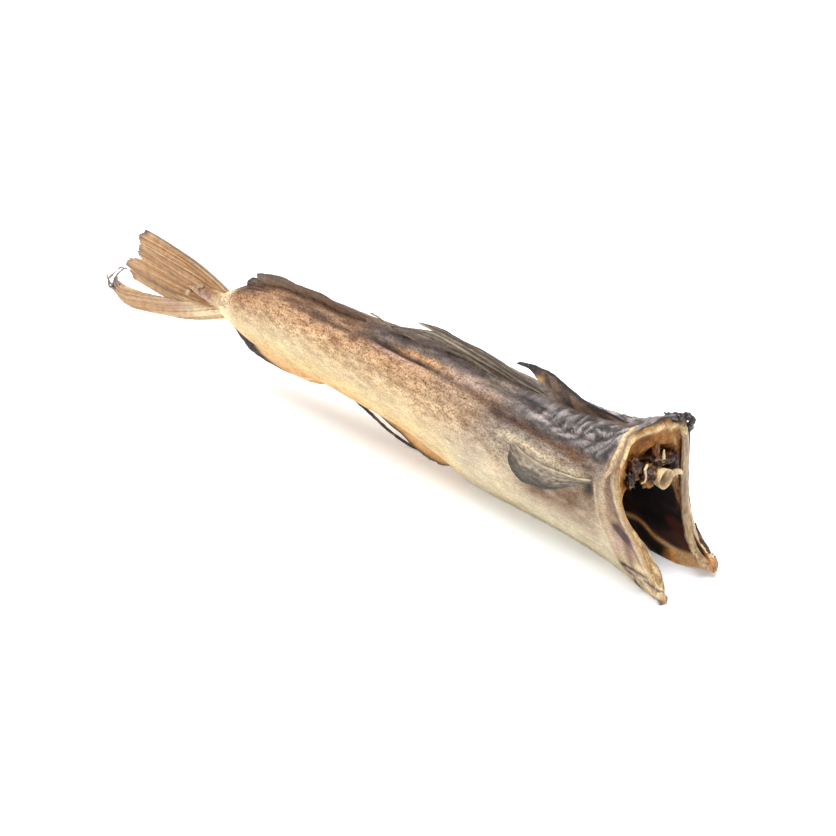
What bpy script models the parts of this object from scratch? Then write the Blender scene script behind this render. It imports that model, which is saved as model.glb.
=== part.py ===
"""Stockfish: a whole cod, gutted and headless, dried hard in the air.

The fish lies along X, with the neck opening toward +X, the tail toward -X and the back up.
It rests on the free edges of its belly flaps and on its first anal fin, in the plane z = 0.
The body is a loft of cross-sections. Fins and tail are thin wavy sheets fused to it.
The backbone and the two collar bones are pieces of their own, seated in grooves cut for them.
All lengths are metres.
"""

from math import pi, radians

import bmesh
import bpy
import numpy as np

GAP = 0.0003                # clearance between touching pieces

# The body's cross-sections from tail stem to neck. Each row holds the position along X, the
# heights of crest and keel, the greatest half-width and its height, the keel's half-width as a
# share of the greatest, and the sideways place of the centre line.
SECTIONS = np.array([
    (-0.162, 0.066, 0.0440, 0.008, 0.055, 0.06, -0.012),
    (-0.148, 0.0755, 0.0380, 0.011, 0.058, 0.06, -0.012),
    (-0.120, 0.0905, 0.0310, 0.017, 0.062, 0.06, -0.011),
    (-0.080, 0.0965, 0.0280, 0.023, 0.065, 0.06, -0.009),
    (-0.030, 0.0960, 0.0260, 0.028, 0.066, 0.06, -0.006),
    (0.030, 0.0985, 0.0200, 0.032, 0.066, 0.06, -0.002),
    (0.075, 0.103, 0.0090, 0.034, 0.066, 0.10, 0.0),
    (0.130, 0.103, -0.0015, 0.036, 0.066, 0.20, 0.0),
    (0.190, 0.105, -0.0015, 0.037, 0.068, 0.23, 0.0),
    (0.240, 0.1128, -0.0015, 0.037, 0.072, 0.38, 0.0),
    (0.272, 0.126, -0.0015, 0.035, 0.076, 0.60, 0.0),
    (0.305, 0.129, -0.0015, 0.033, 0.078, 0.92, 0.0),
])
CREST, KEEL, HALF_WIDTH, WIDEST_Z, KEEL_SHARE, CENTRE_Y = range(1, 7)
STEM_X = SECTIONS[0, 0]
WIDEST_V = 0.45             # how far round a half section the widest place is, crest 0, keel 1

# Powers that shape a half section: below 1 fuller, above 1 leaner than an ellipse.
BACK_WIDTH_POWER = 0.95
BACK_HEIGHT_POWER = 0.90
FLANK_WIDTH_POWER = 1.25
FLANK_HEIGHT_POWER = 1.15
NAPE_X = (0.225, 0.275)     # where the back grows square toward the neck
NAPE_SQUARE_NEAR = 0.12     # taken off the back's power by the neck, right side
NAPE_SQUARE_FAR = 0.60      # and left side

# The neck's edge: X of the skin's end for each share v of the way from crest to keel.
NECK_V = (0.0, 0.10, 0.20, 0.30, 0.42, 0.55, 0.70, 0.82, 0.92, 1.0)
NECK_NEAR_X = (0.262, 0.256, 0.258, 0.260, 0.263, 0.268, 0.280, 0.292, 0.301, 0.304)
NECK_FAR_X = (0.262, 0.268, 0.270, 0.268, 0.270, 0.272, 0.281, 0.292, 0.304, 0.309)

# Furrows and the ridge between them, dried into the flank: X, and the v they run along.
FURROW_X = (0.000, 0.035, 0.065, 0.101, 0.144, 0.206, 0.245)
SIDE_FURROW_V = (0.100, 0.133, 0.170, 0.190, 0.226, 0.286, 0.326)
BACK_FURROW_V = (0.020, 0.025, 0.030, 0.055, 0.100, 0.170, 0.180)
FURROW_WIDTH = 0.035        # in v
SIDE_FURROW_DEPTH = 0.0022
BACK_FURROW_DEPTH = 0.0018
GIRDLE_EDGE_V = (0.0, 0.13, 0.22, 0.31, 0.39, 0.48, 0.55, 0.65, 0.77, 1.0)
GIRDLE_EDGE_X = (0.262, 0.246, 0.244, 0.243, 0.242, 0.245, 0.250, 0.258, 0.272, 0.292)
GIRDLE_STEP = 0.0012        # rise of the shoulder girdle's band over the flank

# The gut cavity, open at the neck and along the belly down to the vent.
CAVITY_X = (0.086, 0.110, 0.150, 0.200, 0.262, 0.330)
CAVITY_ROOF_Z = (0.020, 0.044, 0.062, 0.072, 0.077, 0.080)
CAVITY_REACH = (0.06, 0.55, 0.95, 1.0, 1.0, 1.0)
CAVITY_FLOOR_Z = -0.012
FLAP_THICKNESS_NEAR = (0.0060, 0.0060, 0.0058, 0.0055, 0.0052, 0.0052)
FLAP_THICKNESS_FAR = (0.0060, 0.0060, 0.0065, 0.0075, 0.0088, 0.0088)
FLAP_TUCK = 0.0048          # how far the right flap is drawn in over its free edge
FLAP_TUCK_X = (0.085, 0.140, 0.235, 0.285)      # it begins, is full, starts to fade and ends
FLAP_TUCK_ANGLE = (1.15, 0.35)                  # its place and spread round the section
# The left flap stands more open: its keel's share of the half-width, and its rise off the ground.
FAR_FLAP_X = (0.130, 0.170, 0.200, 0.240, 0.272, 0.305)
FAR_KEEL_SHARE = (0.20, 0.28, 0.38, 0.60, 0.67, 0.80)
FAR_LIFT_X = (0.170, 0.200, 0.235, 0.262, 0.275, 0.304)
FAR_LIFT = (0.0, 0.0010, 0.0065, 0.0, 0.0010, 0.0065)
SLIT_HALF = 0.0012          # the belly slit where it begins, at the vent

# The flesh is sunken in the neck, above the backbone and on both sides of it.
# Each hollow is an ellipsoid: its centre and its radii.
NECK_HOLLOWS = (((0.276, 0.0, 0.0965), (0.032, 0.0275, 0.0185)),
                ((0.272, -0.0175, 0.0845), (0.022, 0.0120, 0.0140)),
                ((0.272, 0.0170, 0.0840), (0.022, 0.0110, 0.0130)))
BELOW_REST = ((-0.4, -0.2, -0.05), (0.4, 0.2, 0.0))     # all that the resting plane trims off

# The backbone, a row of hourglass vertebrae that tapers toward the tail.
SPINE_X = (0.278, 0.200, 0.130, 0.060, -0.030, -0.110, -0.150)
SPINE_Z = (0.083, 0.078, 0.074, 0.070, 0.066, 0.062, 0.058)
SPINE_RADIUS = (0.0085, 0.0080, 0.0072, 0.0062, 0.0050, 0.0034, 0.0024)
VERTEBRA_LENGTH = 0.0145
VERTEBRA_WAIST = 0.80       # share of the rim's radius
CUP_RADII = (0.0040, 0.0055, 0.0055)
CUP_FORWARD = 0.002         # of the cup's centre from the backbone's end
GROOVE_RUN_OUT = 0.03       # of the backbone's groove past the neck's edge
RIB_PATH = ((0.268, 0.003, 0.084), (0.2685, 0.010, 0.0855), (0.269, 0.0155, 0.083),
            (0.269, 0.0175, 0.078))
RIB_SPREAD = (-1.22, 1.0)   # right rib, left rib
RIB_RADII = (0.0024, 0.0018, 0.0014, 0.0009)

# The collar bones: the right one shows through the skin of the nape as a bar behind the neck's
# edge, and the left one lines the neck's far edge from the shoulder down to the flap's tip.
RIGHT_COLLAR_V = (0.03, 0.12, 0.21, 0.30, 0.36)
RIGHT_COLLAR_X = (0.2535, 0.2525, 0.2550, 0.2550, 0.2515)
RIGHT_COLLAR_RADIUS = 0.0026
RIGHT_COLLAR_DEPTH = 0.0007
LEFT_COLLAR_V = (0.26, 0.93)
LEFT_COLLAR_RADIUS = 0.0030
LEFT_COLLAR_DEPTH = 0.0048
LEFT_COLLAR_PROUD = 0.0006  # forward of the neck's edge
COLLAR_POINTS = 13

# The pectoral fin lies along the flank. Its edges' v is given from its root (0) to its tip (1).
PECTORAL_ROOT_X = 0.240
PECTORAL_LENGTH = 0.077
PECTORAL_S = (0.0, 0.25, 0.56, 0.80, 0.95, 1.0)
PECTORAL_UPPER_V = (0.388, 0.398, 0.402, 0.385, 0.355, 0.345)
PECTORAL_LOWER_V = (0.402, 0.466, 0.529, 0.546, 0.514, 0.440)

FLANK_FIN_THICKNESS = 0.0032

# Each other fin: its thickness, then its root line, sunk into the body, and its free edge as
# (x, z) points from head to tail, the points across and along it, how far its edge leans
# sideways, its ripples, and for some the ray ends' raggedness or the lobe's bulge.
FINS = {
    "first_dorsal": (0.0022, dict(
        root=[(0.236, 0.106), (0.205, 0.100), (0.180, 0.098), (0.168, 0.100), (0.1625, 0.1065)],
        edge=[(0.239, 0.1125), (0.215, 0.1182), (0.192, 0.1207), (0.172, 0.1252),
              (0.158, 0.1272), (0.139, 0.1208)],
        columns=15, rows=4, lean=0.001, wave=0.0012, waves=2)),
    "second_dorsal": (0.0022, dict(
        root=[(0.150, 0.100), (0.100, 0.098), (0.060, 0.096)],
        edge=[(0.154, 0.1060), (0.1376, 0.1100), (0.112, 0.1138), (0.090, 0.1168),
              (0.066, 0.1175), (0.038, 0.1120)],
        columns=15, rows=4, lean=0.001, wave=0.0012, waves=2)),
    "dorsal_strand": (0.0022, dict(
        root=[(0.070, 0.095), (0.030, 0.094), (-0.004, 0.092)],
        edge=[(0.062, 0.106), (0.028, 0.1055), (0.002, 0.102), (-0.016, 0.0995)],
        columns=9, rows=3, lean=-0.003, wave=0.0008, waves=2)),
    "third_dorsal": (0.0022, dict(
        root=[(-0.010, 0.090), (-0.070, 0.089), (-0.120, 0.081)],
        edge=[(-0.012, 0.0985), (-0.040, 0.1020), (-0.072, 0.1045), (-0.104, 0.1038),
              (-0.133, 0.0965)],
        columns=14, rows=6, lean=0.0, wave=0.0012, waves=3, ragged=0.006)),
    "first_anal": (0.0040, dict(
        root=[(0.086, 0.014), (0.040, 0.024), (-0.026, 0.031)],
        edge=[(0.084, 0.008), (0.064, -0.0015), (0.042, -0.0015), (0.022, 0.0020),
              (-0.006, 0.0150), (-0.036, 0.0262)],
        columns=15, rows=4, lean=-0.005, wave=0.0010, waves=2)),
    "second_anal": (0.0030, dict(
        root=[(-0.044, 0.033), (-0.100, 0.035), (-0.142, 0.045)],
        edge=[(-0.044, 0.0275), (-0.060, 0.0222), (-0.078, 0.0198), (-0.100, 0.0182),
              (-0.127, 0.0212), (-0.141, 0.0268), (-0.150, 0.037)],
        columns=15, rows=4, lean=-0.002, wave=0.0010, waves=2)),
    "tail_lobe": (0.0028, dict(
        root=[(-0.160, 0.0655), (-0.165, 0.056), (-0.170, 0.047)],
        edge=[(-0.258, 0.0870), (-0.2655, 0.0790), (-0.2690, 0.0690), (-0.2730, 0.0590),
              (-0.2840, 0.0470), (-0.2770, 0.0330)],
        columns=12, rows=9, lean=-0.001, wave=0.0022, waves=2, bulge=0.0085)),
    "tail_strip": (0.0028, dict(
        root=[(-0.170, 0.053), (-0.204, 0.0385), (-0.237, 0.0300), (-0.269, 0.0222),
              (-0.289, 0.0220), (-0.302, 0.0258)],
        edge=[(-0.164, 0.046), (-0.195, 0.0290), (-0.226, 0.0172), (-0.257, 0.0098),
              (-0.284, 0.0068), (-0.3065, 0.0160)],
        columns=15, rows=3, lean=-0.003, wave=0.0010, waves=2)),
}

BULGE_POWER = 0.8           # under 1, a fin's borders bulge most beyond the middle of the fin

# Round lumps, each with its centre and its radii.
TAIL_HUB = ((-0.176, -0.012, 0.056), (0.0240, 0.0055, 0.0125))
NEAR_FLAP_TIP = ((0.2965, -0.0235, 0.0075), (0.0070, 0.0042, 0.0070))
FAR_FLAP_TIP = ((0.3000, 0.0300, 0.0100), (0.0085, 0.0055, 0.0080))
NAPE_HORN = (((0.271, 0.020, 0.123), (0.0065, 0.0050, 0.0052)),
             ((0.274, 0.024, 0.121), (0.0050, 0.0045, 0.0052)),
             ((0.276, 0.026, 0.117), (0.0038, 0.0045, 0.0052)))

SHARP_ANGLE = radians(40)
COLOURS = {                 # colour and roughness
    "skin": ((0.50, 0.37, 0.24, 1.0), 0.6),
    "bone": ((0.62, 0.48, 0.30, 1.0), 0.55),
}


# ---------------------------------------------------------------- curves and profiles

def smooth(xs, ys, x):
    """Value at x of the monotone cubic curve through the points (xs, ys), flat beyond its ends."""
    xs, ys, x = (np.asarray(values, dtype=float) for values in (xs, ys, x))
    slope = np.diff(ys) / np.diff(xs)
    tangent = np.zeros_like(ys)
    product = slope[:-1] * slope[1:]
    total = np.where(product > 0, slope[:-1] + slope[1:], 1.0)
    tangent[1:-1] = np.where(product > 0, 2 * product / total, 0.0)
    tangent[0], tangent[-1] = slope[0], slope[-1]
    k = np.clip(np.searchsorted(xs, x) - 1, 0, len(xs) - 2)
    h = xs[k + 1] - xs[k]
    t = np.clip((x - xs[k]) / h, 0.0, 1.0)
    start = (2 * t**3 - 3 * t**2 + 1) * ys[k] + (t**3 - 2 * t**2 + t) * h * tangent[k]
    end = (3 * t**2 - 2 * t**3) * ys[k + 1] + (t**3 - t**2) * h * tangent[k + 1]
    return start + end


def along(column, x):
    """One column of the section table at x."""
    return smooth(SECTIONS[:, 0], SECTIONS[:, column], x)


def through(points, s):
    """Points at shares s (0 to 1) of the smooth curve through a few (x, z) points."""
    points = np.asarray(points, dtype=float)
    knots = np.linspace(0.0, 1.0, len(points))
    return np.stack([smooth(knots, points[:, axis], s) for axis in range(points.shape[1])], -1)


def bump(distance, width):
    """1 at distance 0, falling smoothly to 0."""
    return np.exp(-(distance / width)**2)


def ramp(value, start, end):
    """0 up to start, 1 from end on, smooth between."""
    t = np.clip((value - start) / (end - start), 0.0, 1.0)
    return t * t * (3 - 2 * t)


def flank_half_width(x, angle, side):
    """Half-width of one side at x, for an angle from the widest place (0) to the keel (pi / 2)."""
    share = along(KEEL_SHARE, x)
    tuck = 0.0
    if side > 0:
        share = np.where(x > FAR_FLAP_X[0], smooth(FAR_FLAP_X, FAR_KEEL_SHARE, x), share)
    else:
        middle, spread = FLAP_TUCK_ANGLE
        begins, full, fades, ends = FLAP_TUCK_X
        tuck = FLAP_TUCK * ramp(x, begins, full) * (1 - ramp(x, fades, ends)) * bump(angle - middle, spread)
    cosine = np.clip(np.cos(angle), 0.0, 1.0)
    return along(HALF_WIDTH, x) * (share + (1 - share) * cosine**FLANK_WIDTH_POWER) - tuck


def half_width_at(x, z, side):
    """Half-width of one side of the body at x and height z, below its widest place."""
    widest = along(WIDEST_Z, x)
    depth = np.clip((widest - z) / (widest - along(KEEL, x)), 0.0, 1.0)
    return flank_half_width(x, np.arcsin(depth**(1 / FLANK_HEIGHT_POWER)), side)


def keel_height(x, side):
    """Height of a flap's free edge, or of the keel behind the vent."""
    lift = smooth(FAR_LIFT_X, FAR_LIFT, x) if side > 0 else 0.0
    return along(KEEL, x) + lift


def half_section(x, v, side):
    """Half-width and height of the body's outline at x, for v from the crest (0) to the keel (1)."""
    widest = along(WIDEST_Z, x)
    square = NAPE_SQUARE_FAR if side > 0 else NAPE_SQUARE_NEAR
    shoulder = BACK_HEIGHT_POWER - square * np.clip((x - NAPE_X[0]) / (NAPE_X[1] - NAPE_X[0]), 0.0, 1.0)
    upper = np.clip(v / WIDEST_V, 0.0, 1.0) * pi / 2
    lower = np.clip((v - WIDEST_V) / (1 - WIDEST_V), 0.0, 1.0) * pi / 2
    above = v < WIDEST_V
    y = np.where(above, along(HALF_WIDTH, x) * np.sin(upper)**BACK_WIDTH_POWER,
                 flank_half_width(x, lower, side))
    z = np.where(above, widest + (along(CREST, x) - widest) * np.clip(np.cos(upper), 0.0, 1.0)**shoulder,
                 widest - (widest - keel_height(x, side)) * np.sin(lower)**FLANK_HEIGHT_POWER)
    return y, z


def neck_x(v, side):
    """X of the neck's edge, at the share v round a half section."""
    return smooth(NECK_V, NECK_NEAR_X if side < 0 else NECK_FAR_X, v)


def relief(x, v):
    """Height of the dried skin's folds over the plain outline."""
    away_from_edges = ramp(x, -0.150, -0.120) * ramp(v, 0.0, 0.03) * ramp(-v, -0.97, -0.85)
    fade = ramp(x, -0.005, 0.015) * ramp(-x, -0.262, -0.230)
    side = v - smooth(FURROW_X, SIDE_FURROW_V, x)
    back = v - smooth(FURROW_X, BACK_FURROW_V, x)
    shallow = 1.0 - 0.6 * ramp(x, 0.060, 0.110)
    furrows = SIDE_FURROW_DEPTH * shallow * bump(side, FURROW_WIDTH)
    furrows = furrows + BACK_FURROW_DEPTH * ramp(x, 0.050, 0.110) * bump(back, FURROW_WIDTH)
    girdle = GIRDLE_STEP * ramp(x - smooth(GIRDLE_EDGE_V, GIRDLE_EDGE_X, v), -0.006, 0.004)
    ripple = 0.0005 * np.sin(95 * x + 17 * v) * np.sin(31 * v + 40 * x)
    return away_from_edges * (girdle + ripple - fade * furrows)


def skin_point(x, v, side):
    """A point of the skin: the section's outline, moved out of it by the relief."""
    step = 0.004            # in v, to either side, for the outline's direction
    y, z = half_section(x, v, side)
    y_on, z_on = half_section(x, np.minimum(v + step, 1.0), side)
    y_back, z_back = half_section(x, np.maximum(v - step, 0.0), side)
    run_y, run_z = y_on - y_back, z_on - z_back
    length = np.hypot(run_y, run_z) + 1e-9
    height = relief(x, v)
    y = y - run_z / length * height
    z = z + run_y / length * height
    return np.stack([x + 0 * y, side * y + along(CENTRE_Y, x), z], -1)


def below_skin(x, v, side, depth):
    """A point at a depth under the skin, toward the middle of the body."""
    point = skin_point(x, v, side)
    inward = np.stack([0 * x, along(CENTRE_Y, x) - point[:, 1], along(WIDEST_Z, x) - point[:, 2]], -1)
    inward /= np.linalg.norm(inward, axis=1)[:, None]
    return point + inward * depth


def right_collar_path():
    v = np.linspace(RIGHT_COLLAR_V[0], RIGHT_COLLAR_V[-1], COLLAR_POINTS)
    return below_skin(smooth(RIGHT_COLLAR_V, RIGHT_COLLAR_X, v), v, -1, RIGHT_COLLAR_DEPTH)


def left_collar_path():
    v = np.linspace(*LEFT_COLLAR_V, COLLAR_POINTS)
    path = below_skin(neck_x(v, 1), v, 1, LEFT_COLLAR_DEPTH)
    return path + (LEFT_COLLAR_PROUD, 0.0, 0.0)


# ---------------------------------------------------------------- making objects

def clear_scene():
    for old in list(bpy.data.objects):
        bpy.data.objects.remove(old)


def new_collection(name):
    made = bpy.data.collections.new(name)
    bpy.context.scene.collection.children.link(made)
    return made


def material(name):
    colour, roughness = COLOURS[name]
    made = bpy.data.materials.new(name)
    made.use_nodes = True
    shader = made.node_tree.nodes["Principled BSDF"]
    shader.inputs["Base Color"].default_value = colour
    shader.inputs["Roughness"].default_value = roughness
    shader.inputs["Metallic"].default_value = 0.0
    return made


def new_object(name, points, faces, where):
    mesh = bpy.data.meshes.new(name)
    mesh.from_pydata([tuple(point) for point in points], [], faces)
    shape = bmesh.new()
    shape.from_mesh(mesh)
    bmesh.ops.recalc_face_normals(shape, faces=shape.faces[:])
    bmesh.ops.triangulate(shape, faces=shape.faces[:])
    shape.to_mesh(mesh)
    shape.free()
    made = bpy.data.objects.new(name, mesh)
    where.objects.link(made)
    return made


def loft(name, rings, where):
    """A closed solid through rings of equal length, each end closed by a ladder of faces.

    A ring starts at the bottom on the far side, goes up over the top and comes down on the near
    side, with an odd number of points, so that point i faces point -1 - i across the ring.
    """
    count, size = len(rings), len(rings[0])
    faces = [(r * size + i, r * size + (i + 1) % size,
              (r + 1) * size + (i + 1) % size, (r + 1) * size + i)
             for r in range(count - 1) for i in range(size)]
    for first in (0, (count - 1) * size):
        for i in range(size // 2):
            rung = (i, i + 1, size - 2 - i, size - 1 - i)
            faces.append(tuple(dict.fromkeys(first + k for k in rung)))
    return new_object(name, np.concatenate(rings), faces, where)


def sheet(name, grid, thickness, where):
    """A thin solid: a grid of points given half of its thickness on either side."""
    rows, columns = grid.shape[:2]
    faces = [(r * columns + c, r * columns + c + 1, (r + 1) * columns + c + 1, (r + 1) * columns + c)
             for r in range(rows - 1) for c in range(columns - 1)]
    made = new_object(name, grid.reshape(-1, 3), faces, where)
    solid = made.modifiers.new("thickness", "SOLIDIFY")
    solid.thickness = thickness
    solid.offset = 0.0
    return made


def tube(name, path, radii, sides_level, where):
    """A round bar along a path, with a radius for each point, as a closed mesh."""
    curve = bpy.data.curves.new(name, "CURVE")
    curve.dimensions = "3D"
    curve.bevel_depth = 1.0
    curve.bevel_resolution = sides_level
    curve.use_fill_caps = True
    spline = curve.splines.new("POLY")
    spline.points.add(len(path) - 1)
    for point, place, radius in zip(spline.points, path, radii):
        point.co = (*place, 1.0)
        point.radius = radius
    guide = bpy.data.objects.new(name, curve)
    where.objects.link(guide)
    bpy.context.view_layer.update()
    evaluated = guide.evaluated_get(bpy.context.evaluated_depsgraph_get())
    mesh = bpy.data.meshes.new_from_object(evaluated)
    shape = bmesh.new()
    shape.from_mesh(mesh)
    bmesh.ops.remove_doubles(shape, verts=shape.verts[:], dist=0.00001)
    bmesh.ops.recalc_face_normals(shape, faces=shape.faces[:])
    shape.to_mesh(mesh)
    shape.free()
    bpy.data.objects.remove(guide)
    bpy.data.curves.remove(curve)
    made = bpy.data.objects.new(name, mesh)
    where.objects.link(made)
    return made


def ellipsoid(name, centre, radii, where, columns=20, rows=12):
    mesh = bpy.data.meshes.new(name)
    shape = bmesh.new()
    bmesh.ops.create_uvsphere(shape, u_segments=columns, v_segments=rows, radius=1.0)
    bmesh.ops.scale(shape, vec=radii, verts=shape.verts[:])
    bmesh.ops.translate(shape, vec=centre, verts=shape.verts[:])
    shape.to_mesh(mesh)
    shape.free()
    made = bpy.data.objects.new(name, mesh)
    where.objects.link(made)
    return made


def block(name, low, high, where):
    low, high = np.array(low), np.array(high)
    mesh = bpy.data.meshes.new(name)
    shape = bmesh.new()
    bmesh.ops.create_cube(shape, size=1.0)
    bmesh.ops.scale(shape, vec=high - low, verts=shape.verts[:])
    bmesh.ops.translate(shape, vec=(high + low) / 2, verts=shape.verts[:])
    shape.to_mesh(mesh)
    shape.free()
    made = bpy.data.objects.new(name, mesh)
    where.objects.link(made)
    return made


def cut(target, cutter):
    """Subtract a cutter, which stays in the scene as a wire guide."""
    cutter.hide_render = True
    cutter.display_type = "WIRE"
    difference = target.modifiers.new("cut " + cutter.name, "BOOLEAN")
    difference.operation = "DIFFERENCE"
    difference.solver = "MANIFOLD"
    difference.object = cutter


def fuse(target, pieces):
    """Join a collection's objects to the target for good, then remove them."""
    union = target.modifiers.new("fuse", "BOOLEAN")
    union.operation = "UNION"
    union.solver = "MANIFOLD"
    union.operand_type = "COLLECTION"
    union.collection = pieces
    bpy.context.view_layer.update()
    evaluated = target.evaluated_get(bpy.context.evaluated_depsgraph_get())
    joined = bpy.data.meshes.new_from_object(evaluated)
    target.modifiers.clear()
    target.data = joined
    for piece in list(pieces.objects):
        bpy.data.objects.remove(piece)
    bpy.data.collections.remove(pieces)


def finish(target, surface):
    """Give an object its one material, shaded smooth but for its creases."""
    target.data.materials.clear()
    target.data.materials.append(surface)
    target.data.shade_smooth()
    target.data.set_sharp_from_angle(angle=SHARP_ANGLE)


# ---------------------------------------------------------------- the body

def body_rings(lengthwise=47, round_half=23):
    """Rings of the skin from the tail stem to the neck's edge."""
    v = np.linspace(0.0, 1.0, round_half + 1)
    rings = []
    for u in np.linspace(0.0, 1.0, lengthwise):
        far = skin_point(STEM_X + u * (neck_x(v, 1) - STEM_X), v, 1)
        near = skin_point(STEM_X + u * (neck_x(v, -1) - STEM_X), v, -1)
        rings.append(np.concatenate([far[::-1], near[1:]]))
    return rings


def cavity_rings(round_half=11):
    """Rings of the gut cavity: the body's own outline less the flaps' thickness, under a round roof."""
    rings = []
    for x in np.linspace(CAVITY_X[0], CAVITY_X[-1], 22):
        roof = smooth(CAVITY_X, CAVITY_ROOF_Z, x)
        share = np.sin(np.linspace(0.0, pi / 2, round_half + 1))
        z = CAVITY_FLOOR_Z + share * (roof - CAVITY_FLOOR_Z)
        reach = smooth(CAVITY_X, CAVITY_REACH, x)
        arch = np.sqrt(np.clip(1.0 - (np.maximum(z, 0.0) / roof)**4, 0.0, 1.0))
        arch[-1] = 0.0
        walls = []
        for side, thickness in ((1, FLAP_THICKNESS_FAR), (-1, FLAP_THICKNESS_NEAR)):
            outer = half_width_at(min(x, SECTIONS[-1, 0]), np.maximum(z, 0.0), side)
            inner = (outer - smooth(CAVITY_X, thickness, x)) * reach
            walls.append(side * arch * np.maximum(inner, SLIT_HALF))
        far, near = walls
        rings.append(np.concatenate([np.stack([x + 0 * z, far, z], -1),
                                     np.stack([x + 0 * z, near, z], -1)[-2::-1]]))
    return rings


def fin_grid(root, edge, columns, rows, lean, wave, waves, ragged=0.0, bulge=0.0):
    """Points of a dried fin between its root line and its free edge, both (x, z) curves.

    The fin leans sideways toward its edge and ripples. With ragged, the rays at its rear end
    run out by turns. With bulge, its upper and lower borders curve outward.
    """
    s = np.linspace(0.0, 1.0, columns)[None, :]
    t = np.linspace(0.0, 1.0, rows)[:, None]
    low, high = through(root, s[0])[None], through(edge, s[0])[None]
    plane = low + (high - low) * t[..., None]
    teeth = ragged * (np.arange(rows)[:, None] % 2) * ramp(s, 0.80, 1.0)
    x = plane[..., 0] - teeth
    y = along(CENTRE_Y, x) + lean * t + wave * np.sin(2 * pi * waves * s + 2.0 * t) * t
    z = plane[..., 1] + bulge * np.sin(pi * t**BULGE_POWER) * (1.0 - 2.0 * s)
    return np.stack([x, y, z], -1)


def add_fins(where):
    for name, (thickness, shape) in FINS.items():
        sheet(name, fin_grid(**shape), thickness, where)


def add_lumps(where):
    """The bony hub of the tail, and the shrivelled corners of skin round the neck."""
    ellipsoid("tail_hub", *TAIL_HUB, where, 14, 8)
    for lump in NAPE_HORN:
        ellipsoid("nape_horn", *lump, where, 10, 6)
    for lump in (NEAR_FLAP_TIP, FAR_FLAP_TIP):
        ellipsoid("flap_tip", *lump, where, 12, 8)


def add_pectoral_fin(side, where):
    """A crescent pressed flat against the flank behind the neck."""
    s = np.linspace(0.0, 1.0, 13)[None, :]
    t = np.linspace(0.0, 1.0, 5)[:, None]
    x = PECTORAL_ROOT_X - PECTORAL_LENGTH * s + 0 * t
    upper = smooth(PECTORAL_S, PECTORAL_UPPER_V, s)
    lower = smooth(PECTORAL_S, PECTORAL_LOWER_V, s)
    v = upper + (lower - upper) * t
    sheet("pectoral", skin_point(x, v, side), FLANK_FIN_THICKNESS, where)


def make_body(where, cutters, skin):
    body = loft("body", body_rings(), where)
    fused = new_collection("fused")
    add_fins(fused)
    add_lumps(fused)
    for side in (-1, 1):
        add_pectoral_fin(side, fused)
    fuse(body, fused)
    finish(body, skin)
    cut(body, block("rest_plane", *BELOW_REST, cutters))
    cut(body, loft("gut_cavity", cavity_rings(), cutters))
    for centre, radii in NECK_HOLLOWS:
        cut(body, ellipsoid("neck_hollow", centre, radii, cutters))
    return body


# ---------------------------------------------------------------- the bones

def spine_path(x):
    return np.stack([x, along(CENTRE_Y, x), smooth(SPINE_X[::-1], SPINE_Z[::-1], x)], -1)


def spine_radius(x):
    return smooth(SPINE_X[::-1], SPINE_RADIUS[::-1], x)


def make_backbone(where, cutters, body, bone):
    count = int((SPINE_X[0] - SPINE_X[-1]) / VERTEBRA_LENGTH)
    ends = np.linspace(SPINE_X[0], SPINE_X[-1], count + 1)
    steps = np.linspace(SPINE_X[0], SPINE_X[-1], 2 * count + 1)
    radii = spine_radius(steps)
    radii[1::2] *= VERTEBRA_WAIST
    backbone = tube("backbone", spine_path(steps), radii, 2, where)
    ribs = new_collection("ribs")
    for spread in RIB_SPREAD:
        path = [(x, spread * y, z) for x, y, z in RIB_PATH]
        tube("rib", path, RIB_RADII, 1, ribs)
    fuse(backbone, ribs)
    finish(backbone, bone)
    groove_x = np.concatenate([[SPINE_X[0] + GROOVE_RUN_OUT], ends, [SPINE_X[-1] - 3 * GAP]])
    groove = tube("spine_groove", spine_path(groove_x), spine_radius(groove_x) + 2 * GAP, 2, cutters)
    cut(body, groove)
    front = spine_path(np.array([SPINE_X[0]]))[0]
    cut(backbone, ellipsoid("vertebra_cup", front + (CUP_FORWARD, 0.0, 0.0), CUP_RADII, cutters, 12, 8))
    return backbone


def make_collar_bone(name, path, radius, where, cutters, body, bone):
    """A bar, slimmer at its ends, in a groove of its own."""
    share = np.linspace(0.0, 1.0, len(path))
    radii = radius * (0.60 + 0.40 * np.sin(pi * share)**0.5)
    made = tube(name, path, radii, 2, where)
    finish(made, bone)
    cut(body, tube(name + "_groove", path, radii + GAP * 1.3, 2, cutters))
    return made


def main():
    clear_scene()
    stockfish = new_collection("stockfish")
    cutters = new_collection("cutters")
    skin = material("skin")
    bone = material("bone")
    body = make_body(stockfish, cutters, skin)
    make_backbone(stockfish, cutters, body, bone)
    make_collar_bone("collar_bone_right", right_collar_path(), RIGHT_COLLAR_RADIUS,
                     stockfish, cutters, body, bone)
    make_collar_bone("collar_bone_left", left_collar_path(), LEFT_COLLAR_RADIUS,
                     stockfish, cutters, body, bone)


main()
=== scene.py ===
"""Looks of a stockfish, a whole headless cod dried hard in the air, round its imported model.

The fish lies along X with the neck opening at +X, the tail at -X and the back up. Lengths are
metres. A place on the skin is given by x and by v, the share of the way round a half section
from the crest of the back (0) to the free edge of the belly flap (1). side is -1 for the right
flank, which faces the camera, and +1 for the left.
"""

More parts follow.
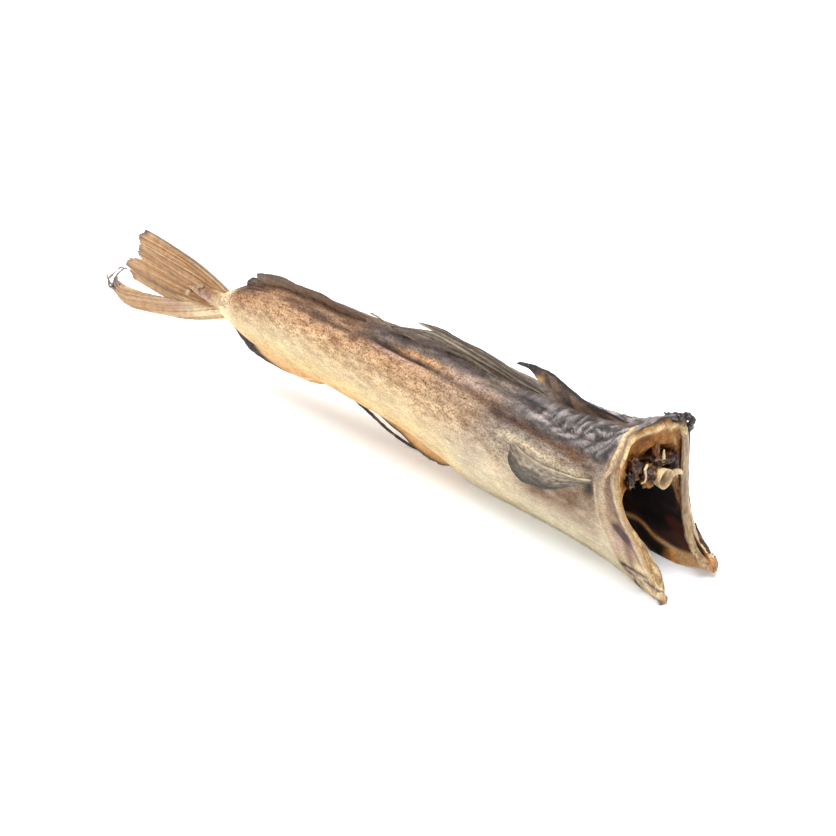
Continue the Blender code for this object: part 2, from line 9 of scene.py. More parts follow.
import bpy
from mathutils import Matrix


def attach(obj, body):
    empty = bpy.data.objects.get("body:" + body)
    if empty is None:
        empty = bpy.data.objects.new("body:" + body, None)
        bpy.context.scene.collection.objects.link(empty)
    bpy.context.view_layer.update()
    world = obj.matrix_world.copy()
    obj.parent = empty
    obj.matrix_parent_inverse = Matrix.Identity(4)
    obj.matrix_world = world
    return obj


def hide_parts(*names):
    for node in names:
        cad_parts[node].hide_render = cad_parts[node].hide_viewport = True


bl_info = {
    "name": "Stockfish",
    "version": (1, 0, 0),
    "blender": (4, 5, 0),
    "location": "3D View > Sidebar > Stockfish",
    "description": "Dried skin, flesh, fins and bones of a stockfish round its packed model",
    "category": "Object",
}

from itertools import product
from math import cos, pi, radians, sin
from types import SimpleNamespace

import bmesh
import bpy
import numpy as np
from bpy.props import FloatProperty, FloatVectorProperty, IntProperty, PointerProperty
from mathutils import Vector

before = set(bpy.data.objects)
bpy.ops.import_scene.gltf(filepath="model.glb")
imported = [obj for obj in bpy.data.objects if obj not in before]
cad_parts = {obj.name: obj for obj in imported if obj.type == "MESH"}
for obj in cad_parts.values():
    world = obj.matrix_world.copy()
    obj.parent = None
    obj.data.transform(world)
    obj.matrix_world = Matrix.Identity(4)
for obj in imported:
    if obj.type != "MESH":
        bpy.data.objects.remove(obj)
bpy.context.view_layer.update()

# -------- the body's form, as in the solid

# Cross-sections: x, heights of crest and keel, half-width and its height, the keel's half-width
# as a share of it, and the sideways place of the centre line.
SECTIONS = np.array([
    (-0.162, 0.066, 0.044, 0.008, 0.055, 0.06, -0.012),
    (-0.148, 0.0755, 0.038, 0.011, 0.058, 0.06, -0.012),
    (-0.12, 0.0905, 0.031, 0.017, 0.062, 0.06, -0.011),
    (-0.08, 0.0965, 0.028, 0.023, 0.065, 0.06, -0.009),
    (-0.03, 0.096, 0.026, 0.028, 0.066, 0.06, -0.006),
    (0.03, 0.0985, 0.02, 0.032, 0.066, 0.06, -0.002),
    (0.075, 0.103, 0.009, 0.034, 0.066, 0.1, 0.0),
    (0.13, 0.103, -0.0015, 0.036, 0.066, 0.2, 0.0),
    (0.19, 0.105, -0.0015, 0.037, 0.068, 0.23, 0.0),
    (0.24, 0.1128, -0.0015, 0.037, 0.072, 0.38, 0.0),
    (0.272, 0.126, -0.0015, 0.035, 0.076, 0.56, 0.0),
    (0.305, 0.129, -0.0015, 0.033, 0.078, 0.8, 0.0),
])
CREST, KEEL, HALF_WIDTH, WIDEST_Z, KEEL_SHARE, CENTRE_Y = range(1, 7)
STEM_X = SECTIONS[0, 0]
WIDEST_V = 0.45             # where a half section is widest
BACK_WIDTH_POWER, BACK_HEIGHT_POWER = 0.95, 0.9
FLANK_WIDTH_POWER, FLANK_HEIGHT_POWER = 1.25, 1.15
# Over NAPE_X the back's power falls by this much on either side, which squares the nape.
NAPE_X = (0.225, 0.275)
NAPE_SQUARE_NEAR, NAPE_SQUARE_FAR = 0.12, 0.6
# Lines on the skin as x by v or v by x: the neck's edge, the furrows and the girdle's rear edge.
NECK_V = (0.0, 0.1, 0.2, 0.3, 0.42, 0.55, 0.7, 0.82, 0.92, 1.0)
NECK_NEAR_X = (0.262, 0.256, 0.2585, 0.261, 0.2655, 0.2755, 0.2905, 0.299, 0.3005, 0.298)
NECK_FAR_X = (0.262, 0.268, 0.27, 0.268, 0.27, 0.272, 0.281, 0.292, 0.304, 0.309)
FURROW_X = (0.0, 0.035, 0.065, 0.101, 0.144, 0.206, 0.245)
SIDE_FURROW_V = (0.118, 0.149, 0.18, 0.189, 0.216, 0.262, 0.318)
BACK_FURROW_V = (0.005, 0.035, 0.036, 0.045, 0.085, 0.165, 0.18)
GIRDLE_EDGE_V = (0.0, 0.13, 0.22, 0.31, 0.39, 0.48, 0.55, 0.65, 0.77, 1.0)
GIRDLE_EDGE_X = (0.262, 0.246, 0.244, 0.243, 0.243, 0.246, 0.248, 0.254, 0.26, 0.29)
# The near flap is tucked in by FLAP_TUCK, over these x and round an angle with its spread.
FLAP_TUCK = 0.0048
FLAP_TUCK_X = (0.085, 0.14, 0.235, 0.285)
FLAP_TUCK_ANGLE = (1.15, 0.35)
# The far flap by x: its keel's share of the half-width, and how far its edge is lifted.
FAR_FLAP_X = (0.13, 0.17, 0.2, 0.24, 0.272, 0.305)
FAR_KEEL_SHARE = (0.2, 0.28, 0.38, 0.6, 0.67, 0.8)
FAR_LIFT_X = (0.17, 0.2, 0.235, 0.262, 0.275, 0.304)
FAR_LIFT = (0.0, 0.001, 0.0065, 0.0, 0.001, 0.0065)
VENT_X = 0.088              # where the belly slit begins
VENT_LIFT = 0.0005          # from there up to the cavity's end
# The gut cavity by x: its roof, its share of the room inside, and how thick the wall is.
CAVITY_X = (0.086, 0.11, 0.15, 0.2, 0.262, 0.33)
CAVITY_ROOF_Z = (0.02, 0.044, 0.062, 0.072, 0.077, 0.08)
CAVITY_REACH = (0.06, 0.55, 0.95, 1.0, 1.0, 1.0)
CAVITY_LEAST = 0.0012       # the cavity's half-width where it ends
WALL_NEAR = (0.006, 0.0055, 0.005, 0.0046, 0.0042, 0.0042)
WALL_FAR = (0.006, 0.0058, 0.006, 0.0065, 0.007, 0.007)

# Hollows in the neck's flesh: centre and radii.
HOLLOWS = (((0.29, 0.0, 0.0925), (0.036, 0.027, 0.0165)),
           ((0.28, -0.0175, 0.0845), (0.028, 0.012, 0.014)),
           ((0.279, 0.016, 0.084), (0.027, 0.011, 0.013)))

# Edge of the cream belly, on the skin.
CREAM_X = (-0.15, -0.092, -0.056, -0.012, 0.03, 0.071, 0.102, 0.131, 0.2)
CREAM_V = (0.5, 0.466, 0.479, 0.469, 0.48, 0.51, 0.54, 0.6, 0.64)

# Bones.
SPINE_X = (0.278, 0.2, 0.13, 0.06, -0.03, -0.11, -0.15)
SPINE_Z = (0.083, 0.078, 0.074, 0.07, 0.066, 0.062, 0.058)
SPINE_RADIUS = (0.0078, 0.008, 0.0072, 0.0062, 0.005, 0.0034, 0.0024)
VERTEBRA_LENGTH = 0.0145
RIGHT_COLLAR_V = (0.03, 0.12, 0.21, 0.3, 0.36)
RIGHT_COLLAR_X = (0.2535, 0.2525, 0.255, 0.255, 0.2515)
LEFT_COLLAR_V = (0.26, 0.93)
# Shares of the left collar bone's length, and its radii there.
LEFT_COLLAR_RADII = (0.0, 0.15, 0.5, 0.8, 0.95, 1.0), (0.002, 0.0036, 0.0044, 0.006, 0.0058, 0.002)
LEFT_COLLAR_DEPTH = 0.007           # from the skin to the middle of the bone

# The pectoral fin lies along the flank, from its root to its tip.
PECTORAL_ROOT_X, PECTORAL_LENGTH = 0.24, 0.077
PECTORAL_ROWS, PECTORAL_COLUMNS, PECTORAL_RAYS = 48, 130, 15
PECTORAL_HALF = 0.0009              # about half its thickness
PECTORAL_S = (0.0, 0.25, 0.56, 0.8, 0.95, 1.0)
PECTORAL_UPPER_V = (0.388, 0.398, 0.402, 0.385, 0.355, 0.345)
PECTORAL_LOWER_V = (0.402, 0.466, 0.529, 0.546, 0.514, 0.44)

GIRTH = 0.11                # metres round half of the body, to which noise on the skin is scaled
PIT_X, PIT_V = 0.2365, 0.435    # the pit behind the pectoral fin's root
LATTICE = 64                # cells after which noise repeats
FACE_ROWS = 44              # rows of points from the skin to the cavity over the neck's cut

# -------- curves, noise and colours


def smooth(xs, ys, x):
    """Value at x of the monotone cubic curve through the points (xs, ys), flat beyond its ends."""
    xs, ys, x = (np.asarray(values, dtype=float) for values in (xs, ys, x))
    if xs[0] > xs[-1]:
        xs, ys = xs[::-1], ys[::-1]
    slope = np.diff(ys) / np.diff(xs)
    tangent = np.zeros_like(ys)
    both = slope[:-1] * slope[1:]
    total = np.where(both > 0, slope[:-1] + slope[1:], 1.0)
    tangent[1:-1] = np.where(both > 0, 2 * both / total, 0.0)
    tangent[0], tangent[-1] = slope[0], slope[-1]
    k = np.clip(np.searchsorted(xs, x) - 1, 0, len(xs) - 2)
    h = xs[k + 1] - xs[k]
    t = np.clip((x - xs[k]) / h, 0.0, 1.0)
    start = (2 * t**3 - 3 * t**2 + 1) * ys[k] + (t**3 - 2 * t**2 + t) * h * tangent[k]
    end = (3 * t**2 - 2 * t**3) * ys[k + 1] + (t**3 - t**2) * h * tangent[k + 1]
    return start + end


def through(points, s):
    """Points at shares s (0 to 1) of the smooth curve through a few points."""
    points = np.asarray(points, dtype=float)
    knots = steps(len(points))
    return np.stack([smooth(knots, points[:, axis], s) for axis in range(points.shape[1])], -1)


def bump(distance, width):
    """1 at distance 0, falling smoothly to 0 over about one width."""
    return np.exp(-(distance / width)**2)


def ramp(value, start, end):
    """0 up to start, 1 from end on, eased between. start may be the larger."""
    t = np.clip((value - start) / (end - start), 0.0, 1.0)
    return t * t * (3 - 2 * t)


def between(value, start, full, fades, end):
    """1 from full to fades, eased to 0 at start and at end."""
    return ramp(value, start, full) * ramp(value, end, fades)


def steps(count):
    """So many even steps from 0 to 1."""
    return np.linspace(0.0, 1.0, count)


def noise(seed, size, *coordinates):
    """Value noise from -1 to 1: random numbers on a lattice of cells, eased between its corners.

    size holds the cell's length along each coordinate, or one length for all.
    """
    sizes = size if isinstance(size, tuple) else (size,) * len(coordinates)
    table = np.random.default_rng(seed).uniform(-1.0, 1.0, (LATTICE,) * len(coordinates))
    cells = np.stack(np.broadcast_arrays(*[c / s for c, s in zip(coordinates, sizes)]), -1)
    base = np.floor(cells).astype(int)
    t = cells - base
    t = t * t * (3 - 2 * t)
    value = np.zeros(t.shape[:-1])
    for corner in product((0, 1), repeat=len(coordinates)):
        weight = np.prod(np.where(np.array(corner), t, 1 - t), axis=-1)
        index = (base + corner) % LATTICE
        value += weight * table[tuple(np.moveaxis(index, -1, 0))]
    return value


def rough(seed, size, *coordinates, octaves=3):
    """Layers of noise, each half as coarse and half as strong as the one before."""
    sizes = np.array(size if isinstance(size, tuple) else (size,) * len(coordinates), dtype=float)
    return sum(noise(seed + k, tuple(sizes / 2**k), *coordinates) / 2**k for k in range(octaves))


def linear(code):
    """Linear RGB of an sRGB hex colour such as "#c9a67c"."""
    value = np.array([int(code[k:k + 2], 16) for k in (1, 3, 5)]) / 255
    return tuple(np.where(value <= 0.04045, value / 12.92, ((value + 0.055) / 1.055)**2.4))


def paint(base, *layers):
    """Lay colours over a base, each by a mask from 0 to 1."""
    colour = np.asarray(base, dtype=float)
    for share, top in layers:
        share = np.clip(share, 0.0, 1.0)[..., None]
        colour = colour * (1 - share) + np.asarray(top, dtype=float) * share
    return colour


# -------- the skin as a function of (x, v)


def along(column, x):
    """One column of the section table at x."""
    return smooth(SECTIONS[:, 0], SECTIONS[:, column], x)


def neck_x(v, side):
    """x of the neck's edge at v."""
    return np.where(side < 0, smooth(NECK_V, NECK_NEAR_X, v), smooth(NECK_V, NECK_FAR_X, v))


def keel_height(x, side):
    """Height of a flap's free edge, or of the keel behind the vent."""
    return along(KEEL, x) + np.where(side > 0, smooth(FAR_LIFT_X, FAR_LIFT, x), 0.0)


def flank_half_width(x, angle, side):
    """Half-width of one side at x, for an angle from the widest place (0) to the keel (pi / 2). The
    near flap is tucked in."""
    opened = (side > 0) & (x > FAR_FLAP_X[0])
    share = np.where(opened, smooth(FAR_FLAP_X, FAR_KEEL_SHARE, x), along(KEEL_SHARE, x))
    middle, spread = FLAP_TUCK_ANGLE
    begins, full, fades, ends = FLAP_TUCK_X
    tuck = FLAP_TUCK * ramp(x, begins, full) * (1 - ramp(x, fades, ends)) * bump(angle - middle, spread)
    cosine = np.clip(np.cos(angle), 0.0, 1.0)
    width = along(HALF_WIDTH, x) * (share + (1 - share) * cosine**FLANK_WIDTH_POWER)
    return width - np.where(side < 0, tuck, 0.0)


def half_width_at(x, z, side):
    """Half-width of one side of the body at x and height z, below its widest place."""
    widest = along(WIDEST_Z, x)
    depth = np.clip((widest - z) / (widest - along(KEEL, x)), 0.0, 1.0)
    return flank_half_width(x, np.arcsin(depth**(1 / FLANK_HEIGHT_POWER)), side)


def half_section(x, v, side):
    """Half-width and height of the plain outline: powers of sine and cosine, one pair above the
    widest place and one below it."""
    widest = along(WIDEST_Z, x)
    square = np.where(side > 0, NAPE_SQUARE_FAR, NAPE_SQUARE_NEAR)
    shoulder = BACK_HEIGHT_POWER - square * np.clip((x - NAPE_X[0]) / (NAPE_X[1] - NAPE_X[0]), 0.0, 1.0)
    upper = np.clip(v / WIDEST_V, 0.0, 1.0) * pi / 2
    lower = np.clip((v - WIDEST_V) / (1 - WIDEST_V), 0.0, 1.0) * pi / 2
    above = v < WIDEST_V
    y = np.where(above, along(HALF_WIDTH, x) * np.sin(upper)**BACK_WIDTH_POWER,
                 flank_half_width(x, lower, side))
    z = np.where(above, widest + (along(CREST, x) - widest) * np.clip(np.cos(upper), 0.0, 1.0)**shoulder,
                 widest - (widest - keel_height(x, side)) * np.sin(lower)**FLANK_HEIGHT_POWER)
    return y, z


def girdle_distance(x, v):
    """How far x lies in front of the rear edge of the shoulder girdle's band."""
    return x - smooth(GIRDLE_EDGE_V, GIRDLE_EDGE_X, v)


def side_furrow(x, v):
    """How far v lies below the furrow along the upper flank."""
    return v - smooth(FURROW_X, SIDE_FURROW_V, x)


def back_furrow(x, v):
    """How far v lies below the furrow beside the dorsal fins."""
    return v - smooth(FURROW_X, BACK_FURROW_V, x)


def pit(x, v):
    """1 in the pit behind the pectoral fin's root, 0 off it."""
    return bump(x - PIT_X, 0.005) * bump(v - PIT_V, 0.035)


def creases(x, girth):
    """Wrinkles of the nape, 3 mm apart and bent, from -1 to 1."""
    bend = 0.005 * noise(10, 0.013, x, girth)
    return rough(11, (0.0036, 0.0046), x + 0.9 * np.abs(girth) + bend, girth - bend)


def relief(x, v, side):
    """Height of the dried folds over the plain outline.

    Two furrows run along the back with a ridge between them, deepest over the second dorsal
    fin. The nape is wrinkled crosswise, the flank has long shallow folds and a fine grain, and
    the girdle's band stands up with ribs along it.
    """
    girth = GIRTH * v * side
    side_f, back_f, reach = side_furrow(x, v), back_furrow(x, v), girdle_distance(x, v)
    back = 0.0022 * (1 - 0.6 * ramp(x, 0.06, 0.11)) * bump(side_f, 0.035)
    back = back + 0.0018 * ramp(x, 0.05, 0.11) * bump(back_f, 0.035)
    crack = 0.0016 * between(x, 0.0, 0.012, 0.06, 0.085) * bump(side_f, 0.009)
    crack = crack + 0.001 * between(x, 0.05, 0.1, 0.2, 0.24) * bump(back_f, 0.01)
    nape = between(x, 0.15, 0.19, 0.245, 0.262) * ramp(v, 0.27, 0.16)
    wrinkles = 0.0009 * nape * creases(x, girth)
    folds = 0.0007 * noise(12, (0.055, 0.008), x, girth)
    grain = 0.00022 * rough(13, (0.005, 0.0026), x - 0.5 * np.abs(girth), girth)
    band = ramp(reach, -0.006, 0.004)
    ribs = band * 0.0007 * noise(14, (0.0038, 0.03), reach, girth)
    edge_rib = 0.001 * bump(reach - 0.001, 0.0018) * between(v, 0.1, 0.2, 0.8, 0.98)
    away = ramp(x, -0.15, -0.12) * between(v, 0.0, 0.03, 0.88, 0.99)
    return away * (0.0012 * band + folds + grain + wrinkles + ribs + edge_rib - 0.003 * pit(x, v)
                   + 0.0009 * fin_fold(x, v) - between(x, -0.005, 0.015, 0.23, 0.262) * (back + crack))


def fin_fold(x, v):
    """1 on the fold of skin over the pectoral fin, 0 off it."""
    line = smooth((0.165, 0.2, 0.237), (0.335, 0.366, 0.394), x)
    return bump(v - line, 0.009) * between(x, 0.16, 0.175, 0.225, 0.24)


def skin_point(x, v, side, lift=0.0):
    """A point of the skin: the plain outline, moved out along its normal by the relief and a lift."""
    step = 0.004
    y, z = half_section(x, v, side)
    y_on, z_on = half_section(x, np.minimum(v + step, 1.0), side)
    y_back, z_back = half_section(x, np.maximum(v - step, 0.0), side)
    run_y, run_z = y_on - y_back, z_on - z_back
    length = np.hypot(run_y, run_z) + 1e-9
    height = relief(x, v, side) + lift
    y = y - run_z / length * height
    z = z + run_y / length * height
    return np.stack([x + 0 * y, side * y + along(CENTRE_Y, x), np.maximum(z, 0.0)], -1)


def lining_point(x, v, side):
    """A point of the gut cavity's wall: the outline less the flap's thickness, under a round roof
    that is squarer on the near side toward the neck."""
    roof = smooth(CAVITY_X, CAVITY_ROOF_Z, x)
    keel = np.maximum(keel_height(x, side), 0.0)
    z = keel + (roof - keel) * np.sin((1 - v) * pi / 2)
    wall = np.where(side < 0, smooth(CAVITY_X, WALL_NEAR, x), smooth(CAVITY_X, WALL_FAR, x))
    power = 4 + ramp(x, 0.18, 0.25) * np.where(side < 0, 10.0, 0.0)
    arch = np.sqrt(np.clip(1 - (z / roof)**power, 0.0, 1.0))
    inner = (half_width_at(x, z, side) - wall) * smooth(CAVITY_X, CAVITY_REACH, x)
    y = np.maximum(inner, CAVITY_LEAST) * arch
    folds = 0.0007 * noise(21, (0.03, 0.007), x, z) * ramp(v, 0.02, 0.15)
    return np.stack([x, side * (y - folds) + along(CENTRE_Y, x), z], -1)


# -------- meshes


def grid_faces(rows, columns, wrap=False):
    """Quads over a grid of points, numbered row by row."""
    index = np.arange(rows * columns).reshape(rows, columns)
    if wrap:
        index = np.concatenate([index, index[:, :1]], 1)
    corners = [index[:-1, :-1], index[:-1, 1:], index[1:, 1:], index[1:, :-1]]
    return np.stack(corners, -1).reshape(-1, 4)


SAME_POINT, NO_LENGTH = 0.000001, 0.0000005     # distances under which points or edges merge


def new_piece(name, points, faces, maker, tint, slot="skin", stands_for="body", speckle=None):
    """A smooth mesh piece from arrays, with a colour by point and on the skin a speckle too.

    Points that coincide are merged, which closes seams and poles, and faces are turned outward.
    """
    mesh = bpy.data.meshes.new(name)
    mesh.from_pydata(points.tolist(), [], faces.tolist())
    layer = mesh.attributes.new("tint", "FLOAT_COLOR", "POINT")
    rgba = np.concatenate([tint, np.ones((len(tint), 1))], 1)
    layer.data.foreach_set("color", rgba.astype(np.float32).ravel())
    if speckle is not None:
        layer = mesh.attributes.new("speckle", "FLOAT", "POINT")
        layer.data.foreach_set("value", speckle.astype(np.float32))
    shape = bmesh.new()
    shape.from_mesh(mesh)
    bmesh.ops.remove_doubles(shape, verts=shape.verts[:], dist=SAME_POINT)
    bmesh.ops.dissolve_degenerate(shape, edges=shape.edges[:], dist=NO_LENGTH)
    bmesh.ops.recalc_face_normals(shape, faces=shape.faces[:])
    shape.to_mesh(mesh)
    shape.free()
    mesh.shade_smooth()
    mesh.materials.append(bpy.data.materials.get(maker.__name__) or maker())
    piece = bpy.data.objects.new(name, mesh)
    bpy.context.scene.collection.objects.link(piece)
    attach(piece, "root")
    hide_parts(stands_for)


def joined_piece(name, parts, maker, slot="skin", stands_for="body"):
    """One piece from several (points, faces, colours)."""
    points, faces, tint, first = [], [], [], 0
    for some_points, some_faces, some_colours in parts:
        points.append(some_points)
        faces.append(some_faces + first)
        tint.append(np.broadcast_to(some_colours, some_points.shape))
        first += len(some_points)
    new_piece(name, np.concatenate(points), np.concatenate(faces), maker, np.concatenate(tint),
              slot, stands_for)


def fin_piece(name, sheet, tint):
    """A piece of dried fin from a sheet's points and faces, with the same tint on both sides."""
    flat = tint.reshape(-1, 3)
    new_piece(name, *sheet, dried_fin, np.concatenate([flat, flat]))


UPWARD = (0.0, 0.0, 1.0)
TINY = 1e-12                # keeps a length that is divided by off zero


def unit_rows(vectors):
    """Vectors along the last axis, brought to a length of 1."""
    return vectors / (np.linalg.norm(vectors, axis=-1, keepdims=True) + TINY)


def thin_shell(centre, half):
    """Points and faces of a closed sheet: a grid moved by half its thickness along its normal to
    either side. Where half is 0, as along its border, both sides meet."""
    normal = unit_rows(np.cross(np.gradient(centre, axis=1), np.gradient(centre, axis=0)))
    front, back = centre + normal * half[..., None], centre - normal * half[..., None]
    rows, columns = centre.shape[:2]
    faces = grid_faces(rows, columns)
    points = np.concatenate([front.reshape(-1, 3), back.reshape(-1, 3)])
    return points, np.concatenate([faces, faces[:, ::-1] + rows * columns])


def border(rows, columns, width):
    """A (rows, columns) grid: 0 on the border, rising to 1 over a few points inside it."""
    r = np.minimum(np.arange(rows), np.arange(rows)[::-1])[:, None]
    c = np.minimum(np.arange(columns), np.arange(columns)[::-1])[None, :]
    return np.clip(np.minimum(r, c) / width, 0.0, 1.0)**0.5


def closed_rings(path, rings):
    """Points and faces of rings round a path, shut by a point at either end."""
    count, sides = rings.shape[:2]
    ends = np.repeat(path[[0, -1], None], sides, 1)
    points = np.concatenate([ends[:1], rings, ends[1:]])
    return points.reshape(-1, 3), grid_faces(count + 2, sides, wrap=True)


def rod(path, radii, sides, flat=1.0, up=(1.0, 0.0, 0.0), ridges=0.0):
    """Points and faces of a closed rod: rings of a radius each round a path, squeezed to an oval
    by flat along up, with lengthwise ridges."""
    tangent = unit_rows(np.gradient(path, axis=0))
    across = unit_rows(np.cross(tangent, np.asarray(up)))
    rise = np.cross(across, tangent)
    turn = np.linspace(0.0, 2 * pi, sides, endpoint=False)[None, :, None]
    reach = radii[:, None, None] * (1 + ridges * np.sin(5 * turn) + 0.6 * ridges * np.sin(3 * turn + 1.0))
    return closed_rings(path, path[:, None] + reach * (
        np.cos(turn) * across[:, None] + flat * np.sin(turn) * rise[:, None]))


def rod_share(count, sides):
    """The share of the way along a rod of so many rings, for each of its points."""
    return np.repeat(np.concatenate([[0], np.arange(count), [count - 1]]), sides) / (count - 1)


# -------- sizes and colours a user may change


def colour(code, name, words):
    """A colour property with its default given as an sRGB hex value."""
    return FloatVectorProperty(name=name, description=words, subtype="COLOR", size=3, min=0.0,
                               max=1.0, default=linear(code))


class StockfishColours(bpy.types.PropertyGroup):
    """Colours of the dried fish."""

    flank: colour("#c6a27b", "Flank", "Tan skin of the flank")
    flank_pale: colour("#dfc398", "Lower flank", "Paler tan skin toward the belly")
    flank_grey: colour("#b7a68f", "Grey flank", "Skin of the flank toward the neck")
    cream: colour("#f9e2b5", "Belly", "Cream skin of the belly")
    belly_grey: colour("#d9cdb0", "Grey belly", "Belly toward the neck")
    brown: colour("#8a6a51", "Back", "Brown skin of the back")
    dark: colour("#564740", "Dark back", "Darkest skin along the crest")
    # Dark brown used as painted shade in the furrows, a slit on the near flap and a contact line along the
    # flaps' edges, and for real dark specks.
    furrow: colour("#43261c", "Furrow", "Bottom of the furrows")
    ridge: colour("#d0a679", "Ridge", "Skin of the ridge between the furrows")
    # Also raised to a painted highlight on the nape's wrinkles.
    ash: colour("#7c7675", "Nape", "Ash-grey wrinkled skin of the nape")
    # The horn's own near-black, and painted shade in the nape's creases and the pit behind the pectoral fin.
    ash_dark: colour("#2f2a2b", "Nape's wrinkles", "Dark creases of the nape")
    pink: colour("#bf9d93", "Blush", "Pinkish skin beside the furrow")
    girdle: colour("#b59a80", "Girdle", "Skin over the shoulder girdle")
    girdle_pale: colour("#e3d2ac", "Girdle's ribs", "Pale ribs of the girdle")
    # Also, darker, painted shade along either side of the right collar bone.
    girdle_dark: colour("#80604c", "Girdle's hollows", "Brown streaks between the ribs")
    bruise: colour("#5b3c41", "Bruise", "Purple stain on the near flap")
    flesh: colour("#ad7c42", "Flesh", "Golden dried flesh at the neck")
    flesh_pale: colour("#ead3a2", "Flesh's lip", "Pale lips of the flesh")
    # Real red-brown flesh, also laid on as painted shade deeper in the neck's hollows and along the backbone
    # behind the neck's cut.
    flesh_dark: colour("#4a2412", "Deep flesh", "Red-brown flesh in the hollows")
    # Painted shade: the near-black of the cavity's wall, also laid into the neck's deepest hollows, the
    # bottom of the backbone's cup, the far face's inner edge and one scrap in the neck.
    lining: colour("#1d0f0b", "Cavity", "Dark lining of the gut cavity")
    bone: colour("#e2cc9f", "Bone", "Cream bone")
    # Also, dimmed, painted shade inside the backbone's cup.
    bone_dark: colour("#a9783f", "Bone's stain", "Orange-brown stain of the bone")
    tip: colour("#b8793c", "Flap's tip", "Orange tip of the far flap")
    fin: colour("#6a5c50", "Fin", "Dark membrane of the back's fins")
    # Also, in part, painted shade under the lifted lower edge of the pectoral fins.
    fin_dark: colour("#2c2522", "Fin's edge", "Black edge of a fin")
    fin_pale: colour("#c4b49e", "Fin's rays", "Pale rays of the back's fins")
    fin_gold: colour("#d9a565", "Fin's base", "Translucent golden base of a fin")
    tail: colour("#cfa274", "Tail", "Orange-tan rays of the tail")
    tail_dark: colour("#8a5e3c", "Tail's grooves", "Darker membrane between the rays")


class StockfishForm(bpy.types.PropertyGroup):
    """How finely and how roughly the surfaces are made."""

    lengthwise: IntProperty(
        name="Rows", description="Rows of points from the tail's stem to the neck", default=340,
        min=60, max=380)
    round_half: IntProperty(
        name="Columns", description="Points round half of the body", default=80, min=20, max=90)
    grain: FloatProperty(
        name="Grain", description="Height of the finest wrinkles, by bump", default=0.0003,
        unit="LENGTH", min=0.0, max=0.002)
    fray: FloatProperty(
        name="Fray", description="How far the fins' ray ends run out unevenly", default=1.0,
        min=0.0, max=2.0)


class StockfishStage(bpy.types.PropertyGroup):
    """Camera and studio light."""

    azimuth: FloatProperty(
        name="Azimuth", description="Camera's way round from the fish's right side",
        default=radians(43.0), subtype="ANGLE", unit="ROTATION")
    elevation: FloatProperty(
        name="Elevation", description="Camera's height over the horizon",
        default=radians(33.0), subtype="ANGLE", unit="ROTATION")
    distance: FloatProperty(
        name="Distance", description="From the camera to what it looks at", default=2.0,
        unit="LENGTH")
    lens: FloatProperty(
        name="Lens", description="Focal length on a 36 mm sensor", default=113.0,
        subtype="DISTANCE_CAMERA", unit="CAMERA")
    sky: FloatProperty(
        name="Sky", description="Strength of the even white light", default=0.66, min=0.0)
    key: FloatProperty(
        name="Key", description="Power of the large soft lamp, in watts", default=39.0, min=0.0)
    glow: FloatProperty(
        name="Glow", description="Light from under the white floor, which softens shadows",
        default=0.2, min=0.0)


def colours():
    """The palette, each colour by its name as linear RGB."""
    group = bpy.context.scene.stockfish_colours
    return SimpleNamespace(**{name: np.array(getattr(group, name))
                              for name in StockfishColours.__annotations__})


# -------- materials


MIX_FACTOR, MIX_A, MIX_B, MIX_COLOUR = 0, 6, 7, 2


def add(tree, kind, inputs=None, **settings):
    """Add one node: settings are its properties, inputs its sockets' values or feeding sockets."""
    made = tree.nodes.new(kind)
    for name, value in settings.items():
        setattr(made, name, value)
    for name, value in (inputs or {}).items():
        if isinstance(value, bpy.types.NodeSocket):
            tree.links.new(value, made.inputs[name])
        else:
            made.inputs[name].default_value = value
    return made


def new_material(name):
    """A material with only its output and a Principled BSDF."""
    made = bpy.data.materials.new(name)
    made.use_nodes = True
    return made, made.node_tree, made.node_tree.nodes["Principled BSDF"]


def grain_noise(tree, place, size, stretch, detail):
    """A noise pattern whose cells are about size metres wide, stretched by stretch along X, Y, Z."""
    mapping = add(tree, "ShaderNodeMapping", {"Vector": place, "Scale": tuple(
        1.0 / (size * share) for share in stretch)}, vector_type="POINT")
    return add(tree, "ShaderNodeTexNoise", {"Vector": mapping.outputs[0], "Scale": 1.0,
                                            "Detail": detail, "Roughness": 0.6}).outputs["Fac"]


def mask(tree, value, low, high, strength=1.0):
    """A value turned into a 0 to strength mask between low and high."""
    return add(tree, "ShaderNodeMapRange", {"Value": value, "From Min": low, "From Max": high,
                                            "To Min": 0.0, "To Max": strength},
               interpolation_type="SMOOTHSTEP").outputs[0]


def times(tree, one, other):
    """Two values multiplied."""
    return add(tree, "ShaderNodeMath", {0: one, 1: other}, operation="MULTIPLY").outputs[0]


def over(tree, factor, under, top, blend="MULTIPLY"):
    """One colour laid over another by a factor."""
    return add(tree, "ShaderNodeMix", {MIX_FACTOR: factor, MIX_A: under, MIX_B: (*top, 1.0)},
               data_type="RGBA", blend_type=blend).outputs[MIX_COLOUR]


def held_by_mesh(tree, name, output="Color"):
    """What the mesh holds under a name, at each point."""
    return add(tree, "ShaderNodeAttribute", attribute_name=name).outputs[output]


